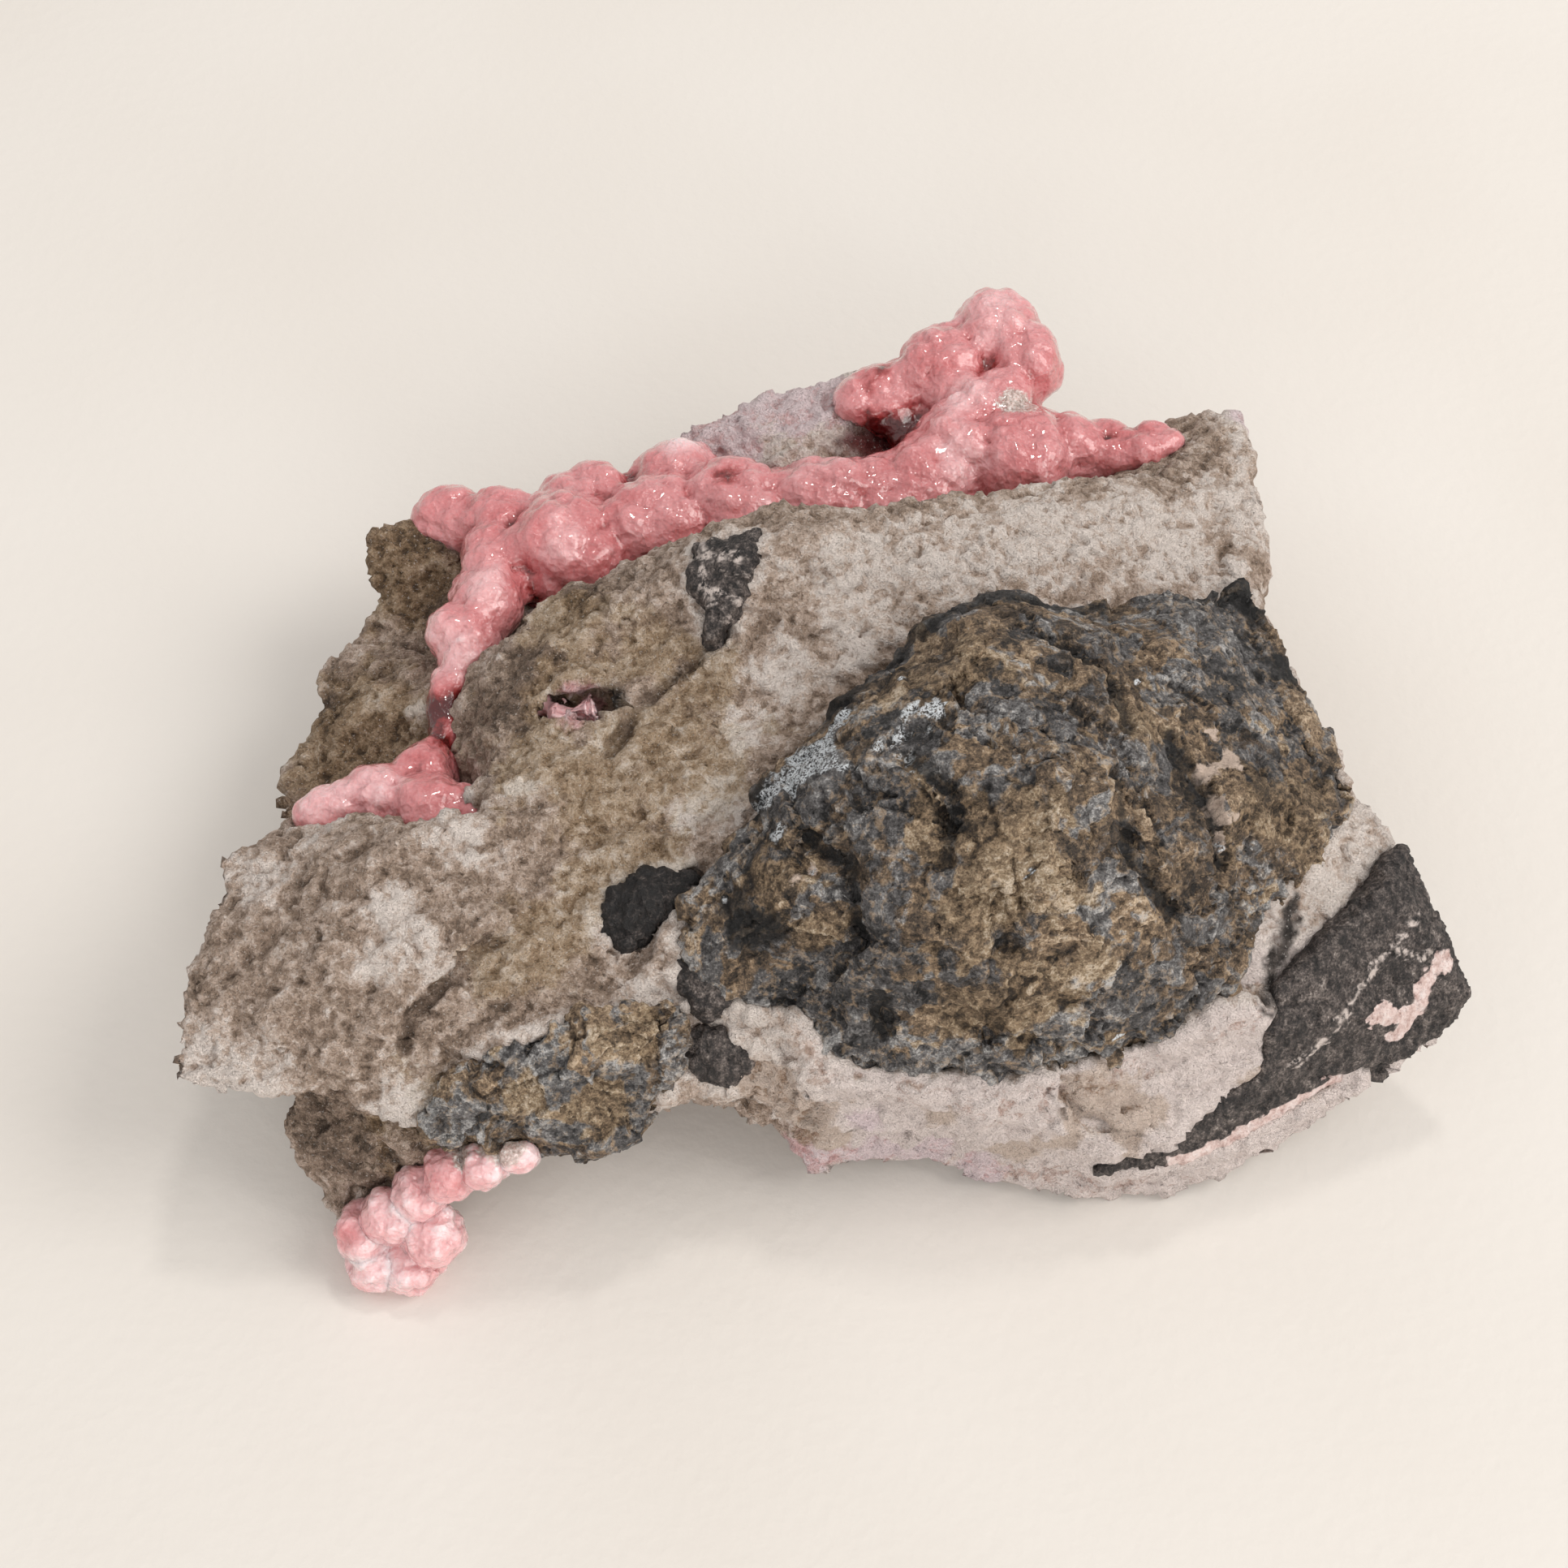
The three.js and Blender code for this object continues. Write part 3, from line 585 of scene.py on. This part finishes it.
def slate_material():
    """Near-black slate with pale hairline veinlets."""
    nodes = Nodes("slate")
    upright = nodes.vector("MULTIPLY", nodes.place, (1.0, 1.0, 0.55))
    blotches = nodes.noise(0.7, 4, 0.6)
    grains = nodes.noise(2.6, 4, 0.7, upright)
    fine = nodes.noise(8.0, 3, 0.6)
    streaks = nodes.noise(1.4, 3, 0.6, nodes.vector("MULTIPLY", nodes.place, (1.6, 1.6, 0.3)))
    level = nodes.total(
        0.35 - 0.35 - 0.75 - 0.65 - 0.55,
        (blotches, 0.7),
        (grains, 1.5),
        (fine, 1.3),
        (streaks, 1.1),
        (nodes.attribute("black"), -0.3),
        (nodes.attribute("light"), 0.12),
    )
    colour = nodes.ramp(
        level, (0.0, (20, 17, 17)), (0.3, (54, 48, 46)), (0.55, (92, 83, 79)), (0.8, (134, 124, 118)),
        (1.0, (186, 176, 170)),
    )
    veinlet = nodes.math("MULTIPLY", nodes.attribute("veinlet"), nodes.step(grains, 0.36, 0.52))
    colour = nodes.mix(veinlet, colour, (206, 193, 186))
    seam = nodes.ramp(grains, (0.3, (176, 142, 134)), (0.5, (222, 198, 192)), (0.7, (242, 228, 224)))
    colour = nodes.mix(nodes.patch("pale", grains, 0.7, 0.2), colour, seam)
    roughness = nodes.span(grains, 0.75, 0.45)
    rough = nodes.bump(blotches, 0.5, 0.5)
    rough = nodes.bump(grains, 0.85, 0.35, rough)
    return nodes.finish(colour, roughness, nodes.bump(fine, 0.6, 0.12, rough))


def rhodochrosite_material():
    """Glossy pink crystal crust: painted shade makes it red in its hollows, painted light makes it paler on
    its crowns, and it is grey where encrusted.
    """
    nodes = Nodes("rhodochrosite")
    clouds = nodes.noise(0.3, 3, 0.5)
    sugar = nodes.cells(1.3, place=nodes.warp(0.25, 1.2))
    fine = nodes.noise(5.0, 4, 0.6)
    level = nodes.total(
        0.5 - 0.275 - 0.15,
        (clouds, 0.55),
        (fine, 0.3),
        # painted light on the crowns and painted shade in the hollows
        (nodes.attribute("painted_crown_light"), 0.22),
        (nodes.attribute("painted_hollow_shade"), -0.4),
        (nodes.attribute("red"), -0.75),
        (nodes.attribute("milky"), 0.3),
    )
    colour = nodes.ramp(
        level, (0.0, (84, 6, 8)), (0.18, (150, 46, 46)), (0.4, (202, 112, 114)), (0.6, (218, 146, 148)),
        (0.82, (234, 180, 182)), (1.0, (246, 216, 218)),
    )
    crust = nodes.ramp(fine, (0.3, (128, 108, 96)), (0.5, (196, 174, 166)), (0.65, (238, 226, 222)))
    colour = nodes.mix(nodes.patch("crust", fine, 1.2, 0.25), colour, crust)
    shader = nodes.shader
    shader.inputs["Subsurface Weight"].default_value = 0.3
    shader.inputs["Subsurface Radius"].default_value = (1.0, 0.35, 0.3)
    shader.inputs["Subsurface Scale"].default_value = 0.8 * MM
    shader.inputs["Coat Weight"].default_value = 1.0
    shader.inputs["Coat Roughness"].default_value = 0.06
    rough = nodes.bump(sugar, 0.55, 0.4)
    rough = nodes.bump(nodes.noise(1.8, 2, 0.5), 0.45, 0.4, rough)
    return nodes.finish(colour, nodes.span(fine, 0.12, 0.3), nodes.bump(fine, 0.2, 0.08, rough))


def paper_material():
    """Pale felt-marked paper, outside the object."""
    nodes = Nodes("paper")
    felt = nodes.noise(1.1, 3, 0.5)
    broad = nodes.noise(0.03, 2, 0.5)
    colour = nodes.ramp(broad, (0.3, (227, 221, 214)), (0.7, (232, 227, 221)))
    nodes.shader.inputs["Specular IOR Level"].default_value = 0.15
    return nodes.finish(colour, 0.95, nodes.bump(felt, 0.35, 0.12))


# ------------------------------------------------------------------ the vein rock

BLEACHED = [
    (6.5, 5.5, 19, 3.6), (1.5, 4.5, 19.5, 3), (12, 8, 18, 3.8), (18, 9.5, 16.5, 3.4), (23, 12, 15, 3),
    (1, 2, 18.3, 2.6), (-2.5, -0.5, 17.6, 2.2), (-4.4, -3.4, 17, 1.8), (-6.4, -8, 15.8, 1.8),
    (20, 7.5, 15.5, 2.4), (-7.8, -17.6, 13.5, 2.4), (-5, -18.6, 12, 2.4), (-3, -20, 10, 3),
    (1, -21, 7.5, 3.4), (6, -21, 6.5, 3.6), (10, -21.6, 6, 3.4), (15, -21.5, 6, 3.6),
    (19, -19.5, 9, 3.2), (22.5, -15, 13.5, 2.6), (26, -10.5, 14.5, 3), (28, -7, 14, 2.6),
    (20, -21, 4.5, 3.6), (25, -18.5, 5.5, 3.6), (30, -16.5, 6, 3.4), (33, -13, 8, 3),
    (-31.5, -21, 12.2, 2.4), (-28.4, -21, 12.2, 2), (-22, -22.4, 11, 1.8), (-29, -10.8, 14.3, 1.6),
    (-22.3, -14.3, 15.7, 1.5), (-20.6, -15.9, 15.3, 1.5), (-19.2, -9.8, 15.6, 2), (-22.6, -16.6, 15, 1.2),
    (-24.9, 1.8, 10.9, 0.8), (-22.4, 1, 11.7, 0.8), (-22.6, 10.4, 11.6, 0.8), (-26, -8, 14.4, 1.4),
    (-3.4, 20, 12, 4), (1, 21.4, 12.6, 4), (-7.5, 18.4, 11, 3), (24, 19.6, 14, 2), (2, 24, 12, 3),
    (-19.6, -6.6, 15, 1.2), (-15.6, -6.6, 15.4, 1),
]
OCHRE = [
    (-16.4, -16.2, 14.5, 1.8), (-14.2, -14.6, 14.6, 2.4), (-11.8, -12, 14.9, 2.6), (-9.4, -10.6, 15.2, 2.2),
    (-6.4, -6.4, 16.3, 2.4), (-8.4, -4, 16.6, 3), (-6.4, -0.6, 17.2, 2), (-12, -7, 15.8, 3),
    (-15, -5, 16.2, 2.4), (-9.6, 1, 17.1, 2), (-14, -2, 16.4, 2.4), (-14, 3, 17.2, 2.4), (-26, 0, 10, 5),
    (-24, 11, 11, 4), (-19, -20, 8, 4),
]
DARK = [
    (-24.4, 11, 11, 3.4), (-22, 8.4, 10.5, 2.4), (-25, 13, 11.8, 2.8), (-17.2, -1.2, 15.4, 2.2),
    (-15.6, 0.6, 16.4, 1.6), (-25, -22, 6, 3), (-24, -20, 8, 3), (-27.5, -18.5, 8, 3.4),
    (-26.5, 2, 9.5, 3), (-26, -3, 10, 3), (-13.2, 4.6, 17.4, 1.6), (-20, -21, 7, 2.4),
]
BROWN = [
    (-3.4, -19.8, 9.4, 2), (-1.6, -21, 7.6, 2), (-0.2, -21.4, 5.8, 1.6), (13.6, -21, 9.2, 2.2),
    (15.4, -21, 7.4, 1.8), (11.6, -21.8, 7, 1.6), (9.6, -22, 4.6, 1.4), (5.6, -21, 8.6, 1.2),
    (21.4, -18.6, 8.4, 1.4), (19.6, -20.6, 6.6, 1.2),
]
BLUSH = [
    (-1.2, -21.5, 3.6, 1.6), (2, -21.2, 3.2, 1.8), (5, -21, 2.8, 1.8), (8, -21.4, 1.8, 1.6),
    (1.6, -21, 7.6, 1.2), (-24.6, -5.2, 13.4, 0.8), (-5.5, 20.4, 12, 3), (-1, 22, 12.4, 3),
    (-9.5, 19, 11.6, 2.2), (-13.2, -2, 16.4, 1.4), (24, 19.6, 14, 1.4),
    (-12.4, -23, 8.6, 1.2), (-15, -23, 8.6, 1),
]
CREASES = [
    [(-16.9, -15.2, 14.9), (-19, -17, 14.5), (-20.9, -18.5, 13.9), (-21.3, -20.1, 13)],
    [(-6, 1.2, 17.7), (-8, -0.4, 17), (-10, -2.1, 16.6), (-11.6, -5, 16.4)],
    [(-6.6, -11.2, 15.2), (-8.4, -14, 14.6), (-10.2, -16.2, 14.2)],
    [(-1.4, -18.2, 11.4), (-0.8, -20, 9.2), (-1.2, -21.4, 6.6)],
    [(11.2, -20.4, 9.8), (12.6, -21.4, 8), (15.4, -21.6, 6.6)],
]
VUG_HOLE = [(-11.4, -1.8, 16.5, 0.8)]
DEEP_RED = [(3.5, 18.4, 10.5, 2.8), (3.5, 19.6, 12.5, 1.8)]
SLIVERS = [[(23.5, -12.4, 14.2), (22.7, -14.8, 13.4), (21.7, -17.2, 12)]]
DIAGONAL = np.array([0.8, 0.6, 0.0])
CLASTS = ["wall_rock_dome", "wall_rock_tongue", "slate_wedge", "slate_tip_chip"]
CLASTS += ["wall_rock_chip_" + side for side in ("left", "back", "front", "low")]


def vein_rock(material):
    shape = Sculpture("vein_rock", 0.24, soften=3)
    broad, lumps, grain = Noise(11), Noise(12), Noise(13)
    beside = closeness(shape.points, CLASTS, 1.6)
    p = shape.points
    # the lumps are drawn out along the valley, as the rock broke
    drawn = p - 0.45 * (p @ DIAGONAL)[:, None] * DIAGONAL
    shape.push(0.4 * broad.layered(drawn * 0.2, 3) + 0.1 + 0.32 * beside)
    near, second = lumps.cells(lumps.warped(drawn, 1.4, 0.3) * 0.36)
    shape.push(0.16 * smooth(0, 0.5, second - near) - 0.1 + 0.3 * lumps.layered(drawn * 0.5, 3, 0.6))
    drawn = p - 0.7 * (p @ DIAGONAL)[:, None] * DIAGONAL
    shape.push(0.45 * (broad.ridged(broad.warped(drawn, 0.8, 0.4) * 0.42, 3, 0.6) - 0.62))
    shape.push(0.28 * np.clip(grain.facets(grain.warped(p, 0.4, 0.8) * 0.7), -0.6, 0.6))
    shape.push(0.18 * (grain.ridged(p * 1.2, 3, 0.6) - 0.62) + 0.16 * grain.layered(p * 2.2, 2, 0.6))
    normals = shape.normals()
    shape.push(-0.45 * lines(p, CREASES, 0.6, normals) - 0.9 * spots(p, VUG_HOLE))
    ribs = lumps(p * (1.5, 1.5, 0.16)) * spots(p, [(-21, -21, 5, 5), (-16, -20, 6, 4)])
    shape.push(0.3 * ribs)
    up = shape.normals()[:, 2]
    shape.thin(192000, keep=np.where(up > -0.3, 1.0, 0.2))
    p = shape.points
    beside = closeness(p, CLASTS, 1.6)
    relief = shape.relief(12)
    # painted shade in the hollows and painted light on the crowns, from how far the surface lies under its
    # smoothed shape
    shape.paint("painted_hollow_shade", smooth(0.01, 0.12, relief))
    shape.paint("painted_crown_light", smooth(-0.01, -0.12, relief))
    shape.paint("pale", np.maximum(spots(p, BLEACHED, 0.5, 21), 0.7 * smooth(0.1, 0.8, beside)))
    shape.paint("ochre", spots(p, OCHRE, 0.5, 22))
    shape.paint("dark", spots(p, DARK, 0.4, 23))
    shape.paint("brown", spots(p, BROWN, 0.4, 24))
    shape.paint("pink", spots(p, BLUSH, 0.4, 25))
    # painted shade along the creases
    shape.paint("painted_crease_shade", lines(p, CREASES, 0.3, shape.normals()))
    shape.paint("sliver", lines(p, SLIVERS, 0.6, shape.normals()))
    # painted shade inside the small hole
    shape.paint("painted_hole_shade", spots(p, VUG_HOLE, 0.2, 26))
    shape.paint("deep", spots(p, DEEP_RED, 0.3, 27))
    # faces turned to the front: the pale band's own colour, and painted light on that side
    front = smooth(0.1, -0.5, shape.normals()[:, 1]) * smooth(-4, 2, p[:, 0]) * smooth(-12, -16, p[:, 1])
    shape.paint("front", front)
    return shape.finish(material, "vein_rock")


# ------------------------------------------------------------------ the wall-rock fragments

DOME_BLUE = [
    (-2.6, -17.6, 13.8, 1.8), (0.4, -18.4, 14, 2.6), (2, -17, 17, 2.2), (3.2, -12.6, 22.6, 2),
    (21.4, -1, 17.8, 3.2), (19.6, 2, 18.4, 2.6), (14, -18.6, 15, 2.4), (10.6, -19.8, 13.6, 2.4),
    (6, -20.6, 12, 2.6), (2.6, -16.4, 19.4, 2), (1, -20, 12.5, 2.4), (-1, -9, 20, 2),
]
DOME_OCHRE = [
    (8, -14.2, 22.6, 3), (10.4, -15.6, 21.4, 2), (6.4, -16.6, 20.4, 2), (4.6, -13.2, 22.4, 1.6),
    (9.8, -18.8, 16.6, 2.6), (6.6, -19.2, 15.6, 2), (21.4, -9.6, 18.4, 2.2), (23.2, -9, 16.6, 2.2),
    (-2.6, -14, 18.8, 1.8), (14.6, -6.8, 22, 1.6), (6.6, -4.8, 23.2, 1.8), (3.4, -5, 22, 1.8),
    (-0.6, -15.6, 17.6, 1.6), (12, -17.6, 17.6, 1.6),
]
DOME_DARK = [
    (12.2, -14.9, 21.4, 0.6), (-3.4, -9.4, 18.6, 1.5), (-3.6, -15.4, 16.8, 1.3), (22.4, 5.6, 15.8, 2),
    (0.2, -4.4, 20.2, 1.4), (24.6, 0.4, 16.4, 1.2),
]
DOME_EDGE = [
    (-0.6, -3.6, 19.6), (2.6, -1.6, 20), (4.8, 0, 20.4), (7.4, 1.8, 20), (10, 2.2, 19.8), (14, 2.6, 18.8),
]
DOME_CREASES = [
    [(16.7, -7, 21.3), (18, -10.1, 20.6), (19, -12.5, 18.4)],
    [(2.2, -18.6, 15.4), (2.4, -19.7, 13.6)],
    [(3.6, -9.6, 23.2), (5.6, -11.6, 23.4), (5.2, -14.6, 22)],
    [(13.4, -10.6, 22.8), (13.8, -13.4, 21.4), (16.4, -15.6, 18.6)],
    [(-1.4, -12.2, 20), (0.8, -13.8, 20.2), (1.2, -16.6, 18)],
    [(10.6, -2.4, 22.4), (13.6, -4.2, 22.2), (14.4, -7.2, 22.4)],
]
DOME_RIDGE = [[(7.3, -2.3, 22.7), (8.4, -7, 23.9), (11.8, -10.9, 23.4), (10.6, -15.4, 21.4)]]
DOME_PALE = [
    (-2.4, -14.4, 18.9, 0.8), (18.4, -8.8, 20.6, 0.6), (18.8, -10.4, 20.2, 0.7), (19.8, -7.4, 20, 0.5),
]
DOME_FROST = [(-1, -8.2, 20, 1.9), (0.4, -7.2, 20.6, 1.2), (-2.4, -9, 19, 1.2), (3.6, -7.6, 22, 1)]
TONGUE_OCHRE = [(-11.6, -22.1, 11, 1.8), (-9.8, -20, 14, 1.4), (-15.4, -22, 12, 1.2)]


def wall_rock(node, voxel, faces, material, masks, creases=(), ridges=(), edge=()):
    shape = Sculpture(node, voxel)
    plates, grain, tatter = Noise(31), Noise(32), Noise(33)
    rim = smooth(0.1, 0.9, closeness(shape.points, ["vein_rock"], 1.5))
    p = shape.points
    # the sunk edge is tattered, so that it meets the vein rock in a ragged line
    ragged = rim * (0.8 * tatter.layered(p * 0.75, 3, 0.6) - 0.08)
    shape.push(0.26 + 0.3 * plates.layered(p * 0.2, 2) + ragged)
    bent = plates.warped(p, 1.3, 0.3)
    shape.push(0.7 * np.clip(plates.facets(bent * 0.21), -0.6, 0.6))
    shape.push(0.38 * np.clip(tatter.facets(bent * 0.45), -0.6, 0.6))
    shape.push(0.16 * np.clip(grain.facets(grain.warped(p, 0.4, 0.9) * 0.95), -0.7, 0.7))
    normals = shape.normals()
    shape.push(0.5 * lines(p, ridges, 2.2, normals) - 0.45 * lines(p, creases, 0.75, normals))
    shape.push(0.2 * (grain.ridged(bent * 0.8, 4, 0.62) - 0.62) + 0.06 * grain.layered(p * 2.2, 2, 0.6))
    shape.thin(faces)
    p = shape.points
    relief = shape.relief(10)
    # painted shade in the hollows and painted light on the crowns, from the relief
    shape.paint("painted_hollow_shade", smooth(0.01, 0.1, relief))
    shape.paint("painted_crown_light", smooth(-0.01, -0.1, relief))
    for name in ("ochre", "blue", "dark", "pale", "frost"):
        shape.paint(name, spots(p, masks.get(name, ()), 0.8, 41))
    normals = shape.normals()
    # painted shade along the creases and along the ragged edge where the plates meet the vein rock
    tattered = lines(plates.warped(p, 0.9, 0.9), edge, 1.1, normals)
    shape.paint("painted_crease_shade", np.maximum(lines(p, creases, 0.45, normals), tattered))
    return shape.finish(material, "wall_rock")


def slate(node, voxel, faces, material, pale=(), veinlets=(), light=(), black=0.0, swell=0.3):
    shape = Sculpture(node, voxel, soften=1)
    plates, grain = Noise(51), Noise(52)
    rim = smooth(0.1, 0.9, closeness(shape.points, ["vein_rock"], 0.9))
    p = shape.points
    shape.push(swell + 0.12 * plates.layered(p * 0.35, 3, 0.6) + 0.3 * rim * grain.layered(p * 1.1, 3, 0.6))
    shape.push(0.16 * np.clip(plates.facets(plates.warped(p, 0.5, 0.6) * 0.6), -0.7, 0.7))
    chipped = 0.12 * np.clip(grain.facets(p * 1.3), -0.7, 0.7)
    shape.push(chipped + 0.14 * (grain.ridged(p * 1.3, 3, 0.6) - 0.6))
    shape.thin(faces)
    p = shape.points
    normals = shape.normals()
    shape.paint("pale", lines(p, pale, 0.7, normals))
    shape.paint("veinlet", lines(p, veinlets, 0.26, normals))
    shape.paint("light", spots(p, light, 0.3, 53))
    shape.paint("black", np.full(len(p), black))
    return shape.finish(material, "slate")


# ------------------------------------------------------------------ the rhodochrosite crusts

RED = [
    (3.6, 18.6, 12.6, 2.1), (1.6, 18.2, 11.6, 1), (-19.6, -6.4, 12.2, 1.1), (-18.8, -7.4, 13.4, 0.8),
    (-16.6, 8.6, 12.4, 0.9), (2.3, 20.8, 12.6, 1),
    (-5.7, 14.4, 14.6, 0.9), (-11.6, 16.6, 11.4, 1), (-18.8, 8, 13, 0.9), (16, 17.4, 13.6, 0.8),
    (-14.6, 12.6, 11.8, 1.4), (3, 22.4, 13, 1.3), (-20.9, 0.4, 12, 1.3), (-21.2, -1.8, 12, 1.1),
]
MILKY = [
    (-20.5, 3.8, 14, 1.8), (-18.9, 7, 14.2, 1.4), (10, 25.8, 16, 2), (-20, -27, 1.5, 6), (-21, -25.5, 4, 5),
    (-26.2, -6, 13.6, 1.6), (-23.6, -5.4, 13.6, 1.4), (-16, -23.6, 8, 4), (-14, -2.1, 16, 2.6),
    (7.4, 15.4, 15, 1.5), (-14.6, 10.6, 14.6, 1.4), (8, 20, 15.6, 1.6), (-8, 18.4, 14, 1.6),
]
NARROW = [
    (-20.8, 3.4, 12.4, 1.5), (-20.8, 2, 12.2, 1.4), (-20.9, 0.4, 12, 1.4), (-21.2, -1.4, 12, 1.2),
    (-26.4, -5.8, 12.9, 1.6), (-12.8, -2, 15.8, 2.4), (19.2, 17.2, 13.6, 1.4),
]
CRUSTED = [(10.9, 19.2, 15.4, 1.2), (-16.4, -23.6, 8.8, 1.1), (-18.6, -23.8, 7.6, 0.9), (21, 18.2, 14.4, 1)]


def rhodochrosite(node, voxel, faces, material, balls, soften, swell, closed=0.0):
    voxel = voxel
    shape = Sculpture(node, voxel, soften=soften)
    if closed:
        shape.close_gaps(closed, voxel, soften)
    waves = Noise(61)
    shape.push(swell + 0.3 * waves.layered(shape.points * 0.35, 2) - 0.6 * spots(shape.points, NARROW))
    for k, (radius, rise) in enumerate(balls):
        height = botryoids(shape.points, shape.normals(), radius, 70 + k)
        shape.push(height * rise - 0.1 * radius)
    shape.push(0.1 * waves.layered(shape.points * 1.1, 2))
    shape.thin(faces)
    relief = shape.relief(24)
    # painted light on the crowns and painted shade in the hollows, from the relief
    shape.paint("painted_crown_light", smooth(-0.02, -0.2, relief))
    shape.paint("painted_hollow_shade", smooth(0.02, 0.25, relief))
    for name, places in (("red", RED), ("milky", MILKY), ("crust", CRUSTED)):
        shape.paint(name, spots(shape.points, places, 0.4, 63))
    return shape.finish(material, "rhodochrosite")


# ------------------------------------------------------------------ the studio


def studio(material):
    half = 1.2
    floor_mesh = bpy.data.meshes.new("floor")
    corners = [(-half, -half, 0), (half, -half, 0), (half, half, 0), (-half, half, 0)]
    floor_mesh.from_pydata(corners, [], [(0, 1, 2, 3)])
    floor_mesh.materials.append(material)
    floor = bpy.data.objects.new("floor", floor_mesh)
    bpy.context.collection.objects.link(floor)

    lamp("window", place=(0.54, -0.02, 0.57), size=0.4, power=2.4)
    lamp("glint", place=(0.04, 0.12, 0.32), size=0.035, power=0.15)
    lamp("fill", place=(0.08, -0.5, 0.2), size=0.4, power=1.15)
    world = bpy.data.worlds.new("studio")
    world.use_nodes = True
    world.node_tree.nodes["Background"].inputs["Color"].default_value = (1.0, 0.985, 0.97, 1)
    world.node_tree.nodes["Background"].inputs["Strength"].default_value = 0.64
    bpy.context.scene.world = world
    bpy.context.scene.view_settings.view_transform = "Standard"


def lamp(name, place, size, power):
    light = bpy.data.lights.new(name, "AREA")
    light.size = size
    light.energy = power
    light.color = (1.0, 0.97, 0.93)
    holder = bpy.data.objects.new(name, light)
    holder.location = place
    holder.rotation_euler = (Vector((0, 0, 0.01)) - Vector(place)).to_track_quat("-Z", "Y").to_euler()
    bpy.context.collection.objects.link(holder)


def camera():
    """A close view from the front, looking down at 58 degrees from 139 mm away."""
    aim, distance, elevation = Vector((-2.5, -2.8, 10)) * MM, 139 * MM, math.radians(58)
    back = Vector((0, -math.cos(elevation), math.sin(elevation)))
    data = bpy.data.cameras.new("camera")
    data.sensor_width = 36
    data.lens = 58.97
    data.clip_start = 0.005
    view = bpy.data.objects.new("camera", data)
    view.location = aim + back * distance
    view.rotation_euler = (-back).to_track_quat("-Z", "Y").to_euler()
    bpy.context.collection.objects.link(view)
    bpy.context.scene.camera = view


camera()
studio(paper_material())
vein_rock(vein_material())

dark_rock = wall_rock_material()
DOME_MASKS = {
    "ochre": DOME_OCHRE, "blue": DOME_BLUE, "dark": DOME_DARK, "pale": DOME_PALE, "frost": DOME_FROST,
}
wall_rock(
    "wall_rock_dome", voxel=0.18, faces=160000, material=dark_rock, masks=DOME_MASKS,
    creases=DOME_CREASES, ridges=DOME_RIDGE, edge=[DOME_EDGE],
)
wall_rock(
    "wall_rock_tongue", voxel=0.14, faces=40000, material=dark_rock,
    masks={"ochre": TONGUE_OCHRE, "blue": [(-14, -21.4, 12.6, 2)]},
)

black_rock = slate_material()
WEDGE_SEAM = [
    [(31.2, -13.8, 10.5), (30.3, -15, 10), (30, -15.9, 8.9), (29, -16.7, 8)],
    [(30, -15.9, 8.9), (27.7, -16.3, 9.6)],
    [(17.8, -22.1, 4.3), (20, -21.5, 4.7), (23, -19.9, 5.2), (26.4, -18.1, 5.8)],
]
WEDGE_VEINLETS = [
    [(26.1, -16.2, 10.6), (27.2, -14.8, 11.6), (28.4, -13.7, 11.9), (29.8, -13.8, 11.2), (30.8, -13.1, 11.2)],
    [(26.1, -16.2, 10.6), (25, -17.3, 9.5), (23.5, -18.4, 8.4), (22.1, -18.2, 6.3)],
    [(28.4, -13.7, 11.9), (29.4, -12.2, 12.4)],
]
slate(
    "slate_wedge", voxel=0.13, faces=90000, material=black_rock, pale=WEDGE_SEAM, veinlets=WEDGE_VEINLETS,
    light=[(24.4, -15.6, 11, 2.6)],
)
slate("slate_tip_chip", voxel=0.1, faces=8000, material=black_rock)
slate("wall_rock_chip_left", voxel=0.1, faces=14000, material=black_rock, black=1.0)
BACK_CHIP_VEINLETS = [
    [(-7, 5, 19.6), (-5, 4.6, 20)], [(-6.8, 3.4, 19.4), (-5.2, 2.8, 19.4)],
    [(-6.6, 5.8, 19.8), (-6.2, 2.6, 19.2)],
]
slate("wall_rock_chip_back", voxel=0.1, faces=14000, material=black_rock, veinlets=BACK_CHIP_VEINLETS)
slate("wall_rock_chip_front", voxel=0.1, faces=12000, material=black_rock)
slate("wall_rock_chip_low", voxel=0.1, faces=12000, material=black_rock)

pink = rhodochrosite_material()
rhodochrosite(
    "rhodochrosite_pockets", voxel=0.22, faces=190000, material=pink, balls=[(2.1, 0.35), (0.9, 0.42)],
    soften=12, swell=0.42, closed=0.8,
)
rhodochrosite(
    "rhodochrosite_lower_cluster", voxel=0.13, faces=60000, material=pink, balls=[(0.8, 0.5), (0.4, 0.5)],
    soften=8, swell=0.25,
)
rhodochrosite(
    "rhodochrosite_small_vug", voxel=0.12, faces=20000, material=pink, balls=[(0.45, 0.5)], soften=6,
    swell=-0.05,
)
